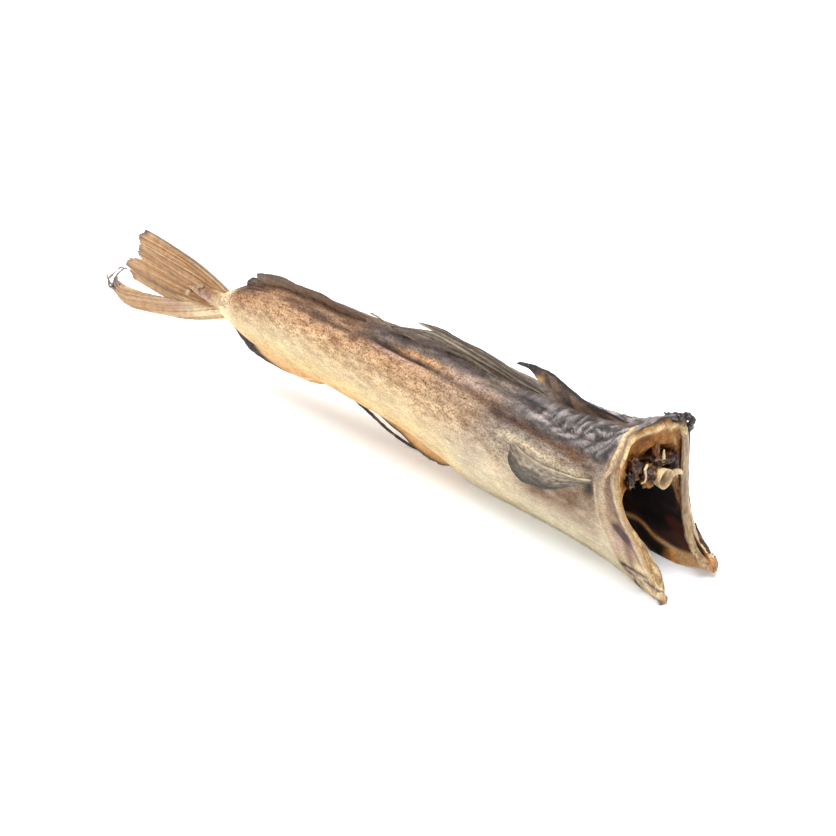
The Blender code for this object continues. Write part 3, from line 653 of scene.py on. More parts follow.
def dried_skin():
    """Air-dried fish skin, stiff as parchment: matt, tan and grey in soft zones that the mesh's
    tint holds, with brown pigment spots 1 mm across, pale flecks, long fibres under it, and a
    fine wrinkled grain. It has only a dull sheen, stronger where the grain is low."""
    made, tree, shader = new_material("dried_skin")
    form = bpy.context.scene.stockfish_form
    place = add(tree, "ShaderNodeTexCoord").outputs["Object"]
    speckle = held_by_mesh(tree, "speckle", "Fac")
    spots, fibres, blotches, grain = (
        grain_noise(tree, place, size, (along_x, 1.0, 1.0), detail) for size, along_x, detail in
        ((0.0013, 1.5, 5.0), (0.0011, 9.0, 3.0), (0.0042, 2.0, 5.0), (0.0009, 1.4, 4.0)))
    zone = add(tree, "ShaderNodeMath", {0: speckle, 1: 0.75, 2: 0.38}, operation="MULTIPLY_ADD").outputs[0]
    base = held_by_mesh(tree, "tint")
    for factor, shade in ((times(tree, mask(tree, blotches, 0.42, 0.66, 0.75), zone), (0.62, 0.53, 0.48)),
                          (times(tree, mask(tree, spots, 0.47, 0.62), speckle), (0.44, 0.32, 0.27)),
                          (times(tree, mask(tree, fibres, 0.46, 0.64, 0.6), zone), (0.62, 0.52, 0.45)),
                          (mask(tree, grain, 0.5, 0.64, 0.75), (1.7, 1.66, 1.6))):
        base = over(tree, factor, base, shade)
    gloss = add(tree, "ShaderNodeMapRange", {"Value": grain, "To Min": 0.48, "To Max": 0.72})
    coarse = add(tree, "ShaderNodeBump", {"Height": spots, "Strength": 0.5,
                                          "Distance": form.grain * 1.6})
    fine = add(tree, "ShaderNodeBump", {"Height": grain, "Strength": 0.7, "Distance": form.grain,
                                        "Normal": coarse.outputs[0]})
    for socket, source in (("Base Color", base), ("Roughness", gloss.outputs[0]),
                           ("Normal", fine.outputs[0])):
        tree.links.new(source, shader.inputs[socket])
    shader.inputs["Specular IOR Level"].default_value = 0.35
    return made


def grained(name, stain, grain, depth, roughness, sheen):
    """A material over the mesh's tint: a stain, then a grain that also stands up by depth.

    stain and grain each hold a noise's size, stretch and detail, the values between which it
    sets in, its strength, its colour and how that is laid on.
    """
    made, tree, shader = new_material(name)
    base = held_by_mesh(tree, "tint")
    place = add(tree, "ShaderNodeTexCoord").outputs["Object"]
    for size, stretch, detail, low, high, strength, shade, blend in (stain, grain):
        pattern = grain_noise(tree, place, size, stretch, detail)
        base = over(tree, mask(tree, pattern, low, high, strength), base, shade, blend)
    tree.links.new(base, shader.inputs["Base Color"])
    bumped = add(tree, "ShaderNodeBump", {"Height": pattern, "Strength": 0.6, "Distance": depth})
    tree.links.new(bumped.outputs[0], shader.inputs["Normal"])
    shader.inputs["Roughness"].default_value = roughness
    shader.inputs["Specular IOR Level"].default_value = sheen
    return made


def dried_fin():
    """Dried fin: horny rays joined by a thin stiff membrane, with a soft gloss, darker blotches
    4 mm wide and pale worn grain."""
    stain = (0.0045, (1.3, 1.0, 1.0), 4.0, 0.38, 0.68, 0.5, (0.55, 0.45, 0.38), "MULTIPLY")
    grain = (0.0009, (1.0, 1.0, 1.0), 3.0, 0.55, 0.75, 0.25, (0.9, 0.78, 0.62), "SCREEN")
    return grained("dried_fin", stain, grain, depth=0.0002, roughness=0.5, sheen=0.4)


def dried_bone():
    """Dried bone and gristle: satin, stained orange-brown in patches 4 mm wide, with a fine
    darker grain. Both are drawn out along Z."""
    stain = (0.0035, (1.0, 1.0, 2.5), 5.0, 0.42, 0.62, 0.75, (0.55, 0.4, 0.27), "MULTIPLY")
    grain = (0.001, (1.0, 1.0, 3.0), 3.0, 0.46, 0.66, 0.5, (0.52, 0.4, 0.32), "MULTIPLY")
    return grained("dried_bone", stain, grain, depth=0.0003, roughness=0.42, sheen=0.5)


# -------- the body


def shades(v, *stops):
    """Colour at v along a run of (place, colour) stops."""
    places = [place for place, _ in stops]
    return np.stack([np.interp(v, places, [shade[k] for _, shade in stops]) for k in range(3)], -1)


def plain_skin(c, u, front):
    """Skin from the crest (u = 0) down to the belly, mixed from the rear's and the neck's colours."""
    rear = shades(u, (0.0, c.brown * (0.66, 0.62, 0.58)), (0.05, c.brown * (0.52, 0.49, 0.45)),
                  (0.12, c.brown * (0.6, 0.57, 0.53)), (0.155, c.brown * 0.8),
                  (0.185, c.brown * 0.25 + c.flank * 0.7), (0.28, c.flank * 1.02),
                  (0.42, c.flank_pale * 0.97), (0.51, c.cream * (0.74, 0.71, 0.68)),
                  (0.58, c.cream * (0.8, 0.78, 0.72)), (0.66, c.cream * (0.77, 0.71, 0.56)),
                  (0.76, c.cream * (0.72, 0.6, 0.44)), (1.0, c.cream * (0.74, 0.6, 0.43)))
    fore = shades(u, (0.0, c.ash * 0.45), (0.12, c.ash * 0.75), (0.22, c.ash * 0.5 + c.flank_grey * 0.4),
                  (0.33, c.flank_grey * 0.9), (0.45, c.flank_grey * 1.15),
                  (0.56, c.belly_grey * (0.86, 0.85, 0.82)), (0.68, c.belly_grey * (0.86, 0.85, 0.8)),
                  (1.0, c.belly_grey * (0.84, 0.82, 0.76)))
    return rear * (1 - front[..., None]) + fore * front[..., None]


def marked_rear(c, skin, x, v, u, front, tone, girth):
    """Blotches on the rear of the back, orange and brown toward the stem, and dark dashes."""
    blotch = ramp(tone, 0.15, 0.9) * between(u, 0.05, 0.12, 0.22, 0.34)
    orange = bump(x + 0.14, 0.022) * bump(v - 0.22, 0.12)
    brown = between(x, -0.16, -0.146, -0.128, -0.1) * bump(v - 0.13, 0.085)
    dashes = rough(49, (0.024, 0.0032), x, girth)
    marks = bump(v - 0.112 - 0.02 * tone, 0.05) * between(x, -0.15, -0.125, 0.0, 0.045)
    return paint(skin, (0.45 * blotch * (1 - front), c.flank),
                 (0.55 * ramp(tone, -0.1, -0.8) * ramp(u, 0.24, 0.14) * (1 - front), c.dark),
                 (0.6 * orange, c.tip * 0.7 + c.flank * 0.3),
                 (0.75 * brown * (1 + 0.4 * tone), c.brown * 0.75),
                 (0.45 * marks, c.brown * (0.55, 0.48, 0.42)),
                 (0.95 * marks * ramp(dashes, -0.1, 0.5), c.dark * (0.7, 0.5, 0.38)),
                 (0.4 * marks * ramp(dashes, -0.2, -0.8), c.flank))


def furrowed_back(c, skin, x, v, side, tone, fine):
    """The back above the side furrow, the pale ridge on it, and the pink skin below the furrow."""
    side_f = side_furrow(x, v)
    above = ramp(x, -0.02, 0.02) * ramp(side_f, 0.0, -0.025)
    ridge_v = smooth((-0.01, 0.04, 0.08, 0.115, 0.17), (0.085, 0.122, 0.148, 0.155, 0.19), x)
    ridge = bump(v - ridge_v, 0.026 + 0.02 * ramp(x, 0.07, 0.13)) * between(x, 0.008, 0.042, 0.12, 0.168)
    ridge = ridge * np.where(side < 0, 1.0, 0.4)
    ridge_colour = paint(c.ridge * (0.4 + 0.6 * ramp(x, 0.024, 0.048))[..., None],
                         (ramp(x, 0.06, 0.11), c.pink * 0.5 + c.flank_grey * 0.5))
    return paint(skin, (above, (c.ash * 0.75 + c.brown * 0.25) * (0.52 + 0.3 * fine[..., None])),
                 (0.45 * above * ramp(tone, 0.2, 0.8), c.flank_grey * 0.8),
                 (ridge * (0.85 + 0.4 * fine), ridge_colour),
                 (0.7 * between(x, 0.0, 0.015, 0.05, 0.075) * bump(side_f - 0.03, 0.016), c.pink))


def speckled_band(c, skin, x, v, tone, fine):
    """The band in which the side furrow runs on toward the neck. Gives back its mask too."""
    side_f = side_furrow(x, v)
    thick = 0.029 + 0.016 * noise(37, 0.022, x) + 0.008 * ramp(x, 0.08, 0.18)
    band = between(x, 0.06, 0.095, 0.218, 0.246) * bump(side_f - 0.012 + 0.01 * tone, thick)
    below = between(x, 0.12, 0.16, 0.22, 0.245) * bump(side_f - 0.112, 0.03)
    skin = paint(skin, (0.88 * band * (1 + 0.5 * fine), c.brown * (0.66, 0.62, 0.63)),
                 (0.8 * band * ramp(fine + 0.6 * noise(38, 0.03, x), 0.1, -0.6), c.furrow * 0.8),
                 # painted shade in the side furrow's bottom about x 0.18
                 (0.75 * bump(x - 0.18, 0.02) * bump(side_f, 0.02) * (1 + 0.6 * fine), c.furrow * 0.7),
                 (0.45 * bump(x - 0.095, 0.032) * bump(v - 0.27, 0.07), c.flank_grey * 0.9),
                 (0.6 * below * (0.8 + tone), c.belly_grey))
    return skin, band


def wrinkled_nape(c, skin, x, v, girth, tone):
    """The nape, with painted highlights on its wrinkles' ridges and painted shade in their creases, and a
    scorched spot. Gives back its mask too.
    """
    nape = ramp(x, 0.125, 0.19) * ramp(side_furrow(x, v), -0.025, -0.07)
    wrinkle = creases(x, girth)
    scorch = bump(x - 0.219, 0.017) * bump(v - 0.125 - 0.8 * (x - 0.219), 0.055)
    shade = (0.68 + 0.32 * ramp(v, 0.05, 0.13) - 0.18 * bump(v - 0.2, 0.05) + 0.25 * tone)[..., None]
    skin = paint(skin, (0.9 * nape, c.ash * 0.92 * shade),
                 # painted highlight on the wrinkles' ridges and painted shade in their creases, following the
                 # same creases that raise the skin; the scorched spot darkens most in them
                 (0.8 * nape * ramp(wrinkle, 0.05, 0.6), c.ash * 2.15 * shade),
                 (0.9 * nape * ramp(wrinkle, 0.0, -0.5), c.ash_dark),
                 (0.9 * scorch * ramp(wrinkle, 0.45, -0.1), c.ash_dark * 0.8))
    return skin, nape


def dark_lines(c, skin, x, v, fine):
    """Painted shade in the bottoms of both furrows, a nick above the upper one, and the crest."""
    crack = between(x, -0.015, 0.012, 0.06, 0.086) * bump(side_furrow(x, v), 0.0135)
    nick = bump(v - 0.083 - 0.9 * (x - 0.166), 0.013) * between(x, 0.14, 0.156, 0.174, 0.19)
    width = 0.03 - 0.018 * ramp(x, 0.08, 0.105)
    upper = between(x, 0.002, 0.022, 0.225, 0.25) * bump(back_furrow(x, v), width)
    crest = ramp(v, 0.045, 0.012) * between(x, -0.03, 0.0, 0.24, 0.262)
    # crack and upper: painted shade in the bottoms of the relief's two furrows
    return paint(skin, (crack, c.furrow * 0.6), (0.95 * nick, c.ash_dark * 0.35),
                 (0.9 * upper * (0.9 + 0.35 * fine), c.dark * (0.7, 0.68, 0.72)),
                 (0.8 * crest, c.dark * 1.1))


def round_the_fin(c, skin, x, v, tone):
    """The pale fold over the pectoral fin, the skin about it, painted shade in the pit behind it, and a scar
    on the belly."""
    slant = v - 0.53 - 0.6 * (0.235 - x)
    patch = between(x, 0.155, 0.205, 0.24, 0.25) * bump(slant, 0.075 + 0.035 * ramp(x, 0.2, 0.235))
    scar = bump(x - 0.1, 0.006) * bump(v - 0.537 - 0.6 * (x - 0.1), 0.006)
    return paint(skin, (0.75 * fin_fold(x, v), c.girdle_pale),
                 (0.5 * bump(v - 0.38, 0.02) * between(x, 0.165, 0.18, 0.22, 0.236), c.belly_grey),
                 (0.95 * patch * (0.9 + 0.7 * tone), c.brown * (0.76, 0.74, 0.62)),
                 # painted shade in the pit behind the pectoral fin's root
                 (pit(x, v), c.ash_dark * 0.7), (0.7 * scar, c.girdle_dark))


def girdle_skin(c, x, v, side, girth, tone, fine):
    """The shoulder girdle's band: pinkish with pale ribs, lines along the lip of the neck, painted shade
    along either side of the collar bone, and on the flap a purple bruise, a slit painted as a dark line of
    shade, pale and dark specks and its tip."""
    streaks = rough(35, (0.0042, 0.022), girdle_distance(x, v) + 0.05 * np.abs(girth), girth)
    from_bar = np.abs(x - smooth(RIGHT_COLLAR_V, RIGHT_COLLAR_X, v))
    to_lip = neck_x(v, side) - x
    lower = ramp(v, 0.26, 0.36)
    rim = bump(to_lip, 0.0036)
    bruise = bump(x - 0.268 - 0.16 * (v - 0.593), 0.006) * bump(v - 0.595, 0.05)
    slit = bump(v - smooth((0.262, 0.283, 0.298), (0.76, 0.768, 0.7), x) + 0.008 * tone, 0.013)
    slit = slit * between(x, 0.258, 0.264, 0.297, 0.303)
    speck = noise(39, (0.005, 0.004), x, girth) * ramp(v, 0.72, 0.8)
    return paint(c.girdle * (0.8, 0.77, 0.7), (0.36 + 0.5 * tone, c.pink * (0.95, 1.0, 0.95)),
                 (0.55 * ramp(rough(48, (0.012, 0.008), x, girth), 0.1, 0.8),
                  c.flank_grey * (0.92, 1.05, 0.9)),
                 (0.4 * ramp(streaks, 0.1, 0.8), c.girdle_pale * 0.95),
                 (0.75 * ramp(streaks, -0.1, -0.75), c.girdle_dark),
                 (0.7 * lower * bump(to_lip - 0.0075 + 0.0015 * tone, 0.0014), c.girdle_dark * 0.9),
                 (0.6 * lower * bump(to_lip - 0.005 + 0.001 * tone, 0.0012), c.girdle_pale),
                 # painted shade along either side of the right collar bone
                 (0.6 * bump(from_bar - 0.004, 0.001) * ramp(v, 0.42, 0.36), c.girdle_dark * 0.5),
                 (0.6 * ramp(v, 0.24, 0.15), c.ash * 0.85), (ramp(v, 0.1, 0.03), c.ash_dark * 1.6),
                 (0.6 * rim * ramp(v, 0.3, 0.42), c.flesh_pale * 0.8),
                 (rim * ramp(v, 0.16, 0.06), c.ash_dark),
                 (0.8 * bump(to_lip, 0.0022) * lower, c.flesh * 1.15),
                 (0.95 * ramp(bruise + 0.15 * fine, 0.25, 0.6), c.bruise * 0.6),
                 # a slit drawn only as a painted dark line of shade
                 (1.2 * slit, c.furrow * 0.5),
                 (0.8 * ramp(v, 0.9, 0.96) * ramp(x, 0.28, 0.29), c.tip),
                 (0.7 * bump(v - 0.735, 0.02) * ramp(x, 0.272, 0.28), c.flesh_pale),
                 (0.9 * ramp(speck, 0.3, 0.6), c.furrow), (0.7 * ramp(speck, -0.3, -0.7), c.flesh_pale))


def skin_tint(x, v, side):
    """Colour and speckle of the skin at (x, v), by zones from the crest down.

    The dark crest passes into a brown back, two furrows darkened by painted shade with a pale ridge
    between them, a speckled tan flank and a cream belly. Toward the neck all turn grey: the nape is
    ash grey with painted highlights on its wrinkles and painted shade in their creases, the flank
    beige, and the girdle's band pinkish with pale ribs. A painted shadow lines the flaps' free edges
    behind the vent.
    """
    c = colours()
    girth = GIRTH * v * side
    wander = 0.03 * rough(31, (0.022, 0.012), x, girth) + 0.022 * noise(32, (0.05, 0.03), x, girth)
    front = ramp(x + 0.055 * noise(33, 0.03, x, girth), 0.025 + 0.03 * ramp(v, 0.33, 0.42), 0.145)
    cream_edge = smooth(CREAM_X, CREAM_V, x)
    u = (v + wander) * 0.5 / cream_edge
    tone = rough(34, (0.02, 0.007), x, girth)
    fine = rough(36, (0.0075, 0.003), x - 0.4 * np.abs(girth), girth)
    strength = 0.35 + 0.65 * ramp(u, 0.55, 0.3)
    uneven = strength[..., None] * (0.2 * tone + 0.32 * fine)[..., None] * (0.85, 1.0, 1.12)
    skin = plain_skin(c, u, front) * (1 + uneven)
    skin = marked_rear(c, skin, x, v, u, front, tone, girth)
    skin = furrowed_back(c, skin, x, v, side, tone, fine)
    skin, band = speckled_band(c, skin, x, v, tone, fine)
    skin, nape = wrinkled_nape(c, skin, x, v, girth, tone)
    skin = dark_lines(c, skin, x, v, fine)
    skin = round_the_fin(c, skin, x, v, tone)
    reach = girdle_distance(x, v)
    girdle = ramp(reach - 0.0055 * ramp(v, 0.42, 0.3), -0.002, 0.003)
    edge = bump(reach - 0.0005, 0.0014) * between(v, 0.34, 0.42, 0.85, 0.95)
    stem = ramp(x, -0.14, -0.153)
    skin = paint(skin, (girdle, girdle_skin(c, x, v, side, girth, tone, fine)), (0.7 * edge, c.girdle_pale),
                 (stem, c.cream), (0.5 * stem * ramp(tone, 0.1, 0.7), c.pink),
                 # painted shadow: a dark contact line along the flaps' free edges behind the vent
                 (ramp(v, 0.955, 0.985) * ramp(x, 0.085, 0.1), c.furrow))
    speckle = (0.08 + 0.82 * ramp(v + wander, cream_edge + 0.03, cream_edge - 0.2)) * (1 - 0.2 * front)
    speckle = np.maximum(speckle, 0.95 * band) * (1 - 0.5 * nape) * (1 - 0.5 * girdle)
    return skin, speckle


def face_tint(q, v, side, depth):
    """Colour of the neck's cut at the share q from the skin (0) to the cavity (1): golden flesh
    with a pale lip at the top, hollows with painted shade that deepens with depth, and the cut
    flaps below. The far flap is darker, with painted shade along its inner edge by the cavity."""
    c = colours()
    top = ramp(v, 0.46, 0.36)
    around = v * side
    far = 0.8 * (side > 0)
    mottle = rough(41, (0.16, 0.03), q, around)
    lip = smooth((-0.3, 0.0, 0.3), (0.07, 0.12, 0.2), around) + 0.03 * noise(42, 0.06, around)
    flesh = paint(c.flesh * (0.96, 0.84, 0.52),
                  (0.6 * ramp(mottle, 0.1, 0.8), c.flesh_pale * (0.75, 0.68, 0.5)),
                  (0.9 * ramp(mottle, 0.0, -0.7), c.flesh * (0.5, 0.36, 0.28)))
    flap = paint(c.flesh * 0.6 + c.flesh_pale * 0.3, (ramp(mottle, -0.1, 0.7), c.flesh_pale * 0.9),
                 (0.7 * ramp(mottle, -0.1, -0.8), c.girdle_dark),
                 (0.6 * ramp(v, 0.85, 0.97) * (side > 0), c.tip))
    return paint(flap, (top, flesh),
                 (top * bump(q - lip, 0.045) * (1 + 0.5 * mottle), c.flesh_pale),
                 (0.8 * top * ramp(q, 0.05, 0.01), c.flesh_pale * 0.9),
                 # painted shade in the hollows, deepening to red-brown and then near black with depth
                 (0.75 * top * ramp(depth, 0.008, 0.02) * (1 + 0.6 * mottle), c.flesh_dark),
                 (ramp(depth, 0.018, 0.027), c.lining),
                 (ramp(q, 0.05, 0.02) * ramp(v, 0.12, 0.05), c.ash_dark),
                 (far * between(v, 0.13, 0.2, 0.43, 0.52) * ramp(mottle, 0.8, -0.1),
                  c.flesh * (0.42, 0.32, 0.26)),
                 (far * ramp(rough(44, (0.5, 0.022), q, around), 0.15, 0.8), c.flesh * (0.62, 0.4, 0.26)),
                 (far * ramp(q, 0.1, 0.03), c.ash_dark * 1.8),
                 # painted shade along the far face's inner edge by the cavity
                 (far * ramp(q, 0.88, 0.98) * (1 - ramp(v, 0.8, 0.9)), c.lining))


def lining_tint(depth, v, side):
    """Colour of the gut cavity's wall: painted shade, nearly black, with red-brown blotches,
    golden at the rim and along the flaps' free edges."""
    c = colours()
    blotch = rough(43, (0.02, 0.1), depth, v * side)
    # painted shade: the wall is near black, but flesh-coloured within 3 mm of the rim
    wall = paint(c.lining, (0.9 * ramp(blotch, 0.0, 0.7), c.flesh_dark * 1.1),
                 (0.7 * ramp(blotch, -0.3, -0.9), (0.004, 0.003, 0.003)))
    x = neck_x(v, side) - depth
    seam = bump(v - 0.885 - 0.045 * ramp(x, 0.225, 0.275), 0.013) * ramp(x, 0.2, 0.225)
    edge = np.maximum(seam, ramp(v + 0.01 * blotch, 0.92, 0.94) * ramp(x, 0.262, 0.274))
    return paint(wall, (ramp(depth + 0.002 * blotch, 0.003, 0.0005), c.flesh * 0.7),
                 (edge, c.flesh * (2.1, 2.0, 1.8)), (0.8 * edge * ramp(blotch, 0.0, 0.5), c.flesh_pale),
                 (0.5 * edge * ramp(x, 0.266, 0.28), c.tip),
                 (0.7 * edge * ramp(blotch, -0.1, -0.6), c.flesh_dark * 1.8))


def carved(points):
    """Front-face points pushed back to the walls of the neck's hollows, each an ellipsoid."""
    x, y, z = points[..., 0], points[..., 1], points[..., 2]
    back = x
    for (cx, cy, cz), (rx, ry, rz) in HOLLOWS:
        inside = 1 - ((y - cy) / ry)**2 - ((z - cz) / rz)**2
        wall = cx - rx * np.sqrt(np.clip(inside, 0.0, 1.0))
        back = np.where(inside > 0, np.minimum(back, wall), back)
    return np.stack([back, y, z], -1)


FACE_SPECKLE, LINING_SPECKLE = 0.3, 0.2


def body_grid():
    """Points, faces, tint and speckle of the body, as one closed sheet.

    It runs along the outer skin from the stem to the neck's edge, over the cut face, and back
    inside along the gut cavity's wall to the vent. Each row goes from the left flap's edge over
    the crest to the right flap's edge. Skin and lining have their rows at the same shares u of
    the body's length, so their flap edges join, and behind the vent the two skin edges join.
    """
    form = bpy.context.scene.stockfish_form
    columns = 2 * form.round_half + 1
    around = np.linspace(1.0, -1.0, columns)
    v, side = np.abs(around)[None], np.where(around > 0, 1.0, -1.0)[None]
    u = steps(form.lengthwise)[:, None]
    x = STEM_X + u * (neck_x(v, side) - STEM_X)
    skin = skin_point(x, v, side)
    skin_colour, speckle = skin_tint(x, v, side)
    first = np.flatnonzero(x[:, 0] > VENT_X)[0]
    inner_x = x[first:]
    inner = lining_point(inner_x, v, side)
    depth = neck_x(v, side) - inner_x
    inner_colour = lining_tint(depth, v + 0 * depth, side)
    inner[0] = (skin[first, 0] + skin[first, -1]) / 2 + (0.0, 0.0, VENT_LIFT)
    q = steps(FACE_ROWS)[1:-1, None]
    face = skin[-1][None] * (1 - q[..., None]) + inner[-1][None] * q[..., None]
    raised = 0.0008 * rough(44, (0.08, 0.05), q, v * side) + 0.0022 * ramp(v, 0.4, 0.3) * bump(q - 0.13, 0.06)
    face = face + raised[..., None] * (1.0, 0.0, 0.0)
    flat_x = face[..., 0]
    face = carved(face)
    sunk = flat_x - face[..., 0]
    face[..., 0] -= 0.002 * ramp(sunk, 0.0, 0.006) * rough(45, (0.006, 0.005), face[..., 1], face[..., 2])
    face_colour = face_tint(q + 0 * v, v + 0 * q, side, sunk)
    points = np.concatenate([skin, face, inner[::-1]])
    tint = np.concatenate([skin_colour, face_colour, inner_colour[::-1]])
    fleck = np.concatenate([speckle, FACE_SPECKLE + 0 * sunk, LINING_SPECKLE + 0 * depth])
    rows = len(points)
    faces = [grid_faces(rows, columns)]
    index = np.arange(rows * columns).reshape(rows, columns)
    last = rows - 1
    for c in (0, columns - 1):
        outer, lined = index[first:len(skin), c], index[last:last - (len(skin) - first):-1, c]
        faces.append(np.stack([outer[:-1], outer[1:], lined[1:], lined[:-1]], -1))
    keel = index[:first + 1]
    faces.append(np.stack([keel[:-1, 0], keel[1:, 0], keel[1:, -1], keel[:-1, -1]], -1))
    half = np.arange(form.round_half)
    faces.append(np.stack([half, half + 1, columns - 2 - half, columns - 1 - half], -1))
    return points.reshape(-1, 3), np.concatenate(faces), tint.reshape(-1, 3), fleck.reshape(-1)


class STOCKFISH_OT_body(bpy.types.Operator):
    """Make the skin, the cut flesh at the neck and the gut cavity's wall."""

    bl_idname = "stockfish.body"
    bl_label = "Body"

    def execute(self, context):
        points, faces, tint, speckle = body_grid()
        new_piece("skin_and_flesh", points, faces, dried_skin, tint, speckle=speckle)
        return {"FINISHED"}


# -------- fins

FIN_TAPER = 0.72            # by how much of its thickness a fin is thinner at its edge
FIN_LOWEST_Z = 0.0009       # for the middle of a sheet


def blade(root, edge, rays, seed, lean=-0.001, wave=0.001, waves=2.0, thickness=0.0018, fray=0.0,
          columns=180, rows=26, bulge=(0.0, 0.0), tatter=None, sweep=0.0):
    """A fin between its root line and its free edge, both curves through a few (x, z) points.

    At the share s from head to tail, a point lies the share t of the way from root to edge. The
    sheet leans and ripples sideways more toward its edge. Its rays stand up as ridges, slanted
    back by sweep, and it is shortened by fray and by tatter, a function of s. Its first ray bows
    up and its last one down by bulge. Gives back its points and faces, s, t, ridges and streaks.
    """
    s, t = steps(columns)[None, :], steps(rows)[:, None]
    form = bpy.context.scene.stockfish_form
    uneven = (0.5 + 0.5 * noise(seed, 0.6 / rays, s)) * (0.5 + 0.5 * noise(seed + 1, 0.13, s))
    reach = 1 - form.fray * fray * uneven
    if tatter is not None:
        reach = reach * tatter(s)
    low, high = through(root, s[0])[None], through(edge, s[0])[None]
    share = t * reach
    plane = low + (high - low) * share[..., None]
    x = plane[..., 0]
    bow = np.interp(s, (0.0, 0.5, 1.0), (bulge[0], 0.0, -bulge[1])) * np.sin(pi * share**0.8)
    y = along(CENTRE_Y, x) + lean * share + wave * np.sin(2 * pi * waves * s + 2.0 * share) * share
    y = y + 0.0004 * noise(seed + 2, (0.04, 0.3), s, share)
    centre = np.stack([x, y, np.maximum(plane[..., 1] + bow, FIN_LOWEST_Z)], -1)
    ray = s - sweep * share
    ridge = 0.5 + 0.5 * np.cos(2 * pi * rays * ray + 1.5 * noise(seed + 3, 3 / rays, ray))
    streak = rough(seed + 4, (0.9 / rays, 1.2), ray, share)
    half = thickness / 2 * (1 - FIN_TAPER * share) * (0.5 + 0.6 * ridge + 0.3 * streak)
    return thin_shell(centre, half * border(rows, columns, 3.0)), s + 0 * t, share, ridge, streak


def dorsal_tint(t, ridge, streak, pale):
    """Dark membrane with rays that are pale by a share, black along the free edge."""
    c = colours()
    base = c.fin * (1 - 0.6 * pale) + (c.fin_pale * 0.6 + c.brown * 0.4) * 0.6 * pale
    return paint(base, (0.25 * (1 - ridge), c.fin_dark), (pale * ramp(streak, -0.1, 0.6), c.fin_pale),
                 (0.7 * ramp(streak, -0.15, -0.8), c.fin_dark),
                 ((0.85 - 0.4 * pale) * ramp(t, 0.78, 0.98), c.fin_dark))


FIRST_DORSAL = dict(
    root=[(0.238, 0.11), (0.212, 0.101), (0.186, 0.099), (0.1718, 0.1085), (0.1633, 0.1117),
          (0.1569, 0.114), (0.1524, 0.1177), (0.146, 0.1203), (0.1365, 0.1196)],
    edge=[(0.24, 0.113), (0.2236, 0.1152), (0.2051, 0.1163), (0.1926, 0.1181), (0.1799, 0.1204),
          (0.1713, 0.1242), (0.1655, 0.1266), (0.1565, 0.1259), (0.1459, 0.1231), (0.1362, 0.1199)],
    rays=9, lean=0.001, wave=0.0014, fray=0.03, seed=51, sweep=0.3)
# The second dorsal fin lies folded along the crest, as leaves of rays over one another.
UPPER_LEAF = dict(
    root=[(0.168, 0.103), (0.14, 0.1045), (0.11, 0.1085), (0.08, 0.1115), (0.06, 0.113), (0.039, 0.1147)],
    edge=[(0.168, 0.104), (0.1406, 0.1118), (0.113, 0.1157), (0.084, 0.1172), (0.066, 0.119),
          (0.039, 0.1151)],
    rays=1, lean=0.0005, seed=55, columns=150, sweep=5.0)
MIDDLE_LEAF = dict(
    root=[(0.16, 0.098), (0.12, 0.0995), (0.09, 0.103), (0.063, 0.1058), (0.04, 0.1055), (0.013, 0.1025)],
    edge=[(0.158, 0.099), (0.115, 0.1098), (0.085, 0.1125), (0.058, 0.1134), (0.038, 0.1102),
          (0.013, 0.1038)],
    rays=1, waves=1.5, seed=61, columns=150, rows=22, sweep=4.0)
LOWER_LEAF = dict(
    root=[(0.158, 0.095), (0.12, 0.0965), (0.095, 0.0985), (0.075, 0.1005)],
    edge=[(0.16, 0.0955), (0.118, 0.104), (0.09, 0.107), (0.066, 0.1055)],
    rays=1, lean=-0.003, wave=0.0008, waves=1.5, seed=64, columns=110, rows=18, sweep=4.0)
WHISKER = dict(
    root=[(0.036, 0.0985), (0.02, 0.1), (0.006, 0.1035), (-0.006, 0.107)],
    edge=[(0.038, 0.0988), (0.018, 0.1028), (0.004, 0.1056), (-0.0065, 0.1075)],
    rays=1, lean=-0.002, wave=0.0006, waves=1.5, seed=66, columns=80, rows=10, sweep=2.0)
THIRD_DORSAL = dict(
    root=[(-0.01, 0.092), (-0.066, 0.09), (-0.1225, 0.083)],
    edge=[(-0.012, 0.0992), (-0.04, 0.1036), (-0.066, 0.1058), (-0.0914, 0.1056), (-0.1114, 0.1032),
          (-0.1262, 0.0975)],
    rays=14, waves=3.0, fray=0.04, seed=67, sweep=0.9)
THIRD_DORSAL_TOOTH = dict(
    root=[(-0.106, 0.0975), (-0.112, 0.09), (-0.118, 0.0815)],
    edge=[(-0.13, 0.0925), (-0.1345, 0.088), (-0.1368, 0.0836)],
    rays=3, wave=0.0006, waves=1.0, seed=68, columns=40, rows=40)
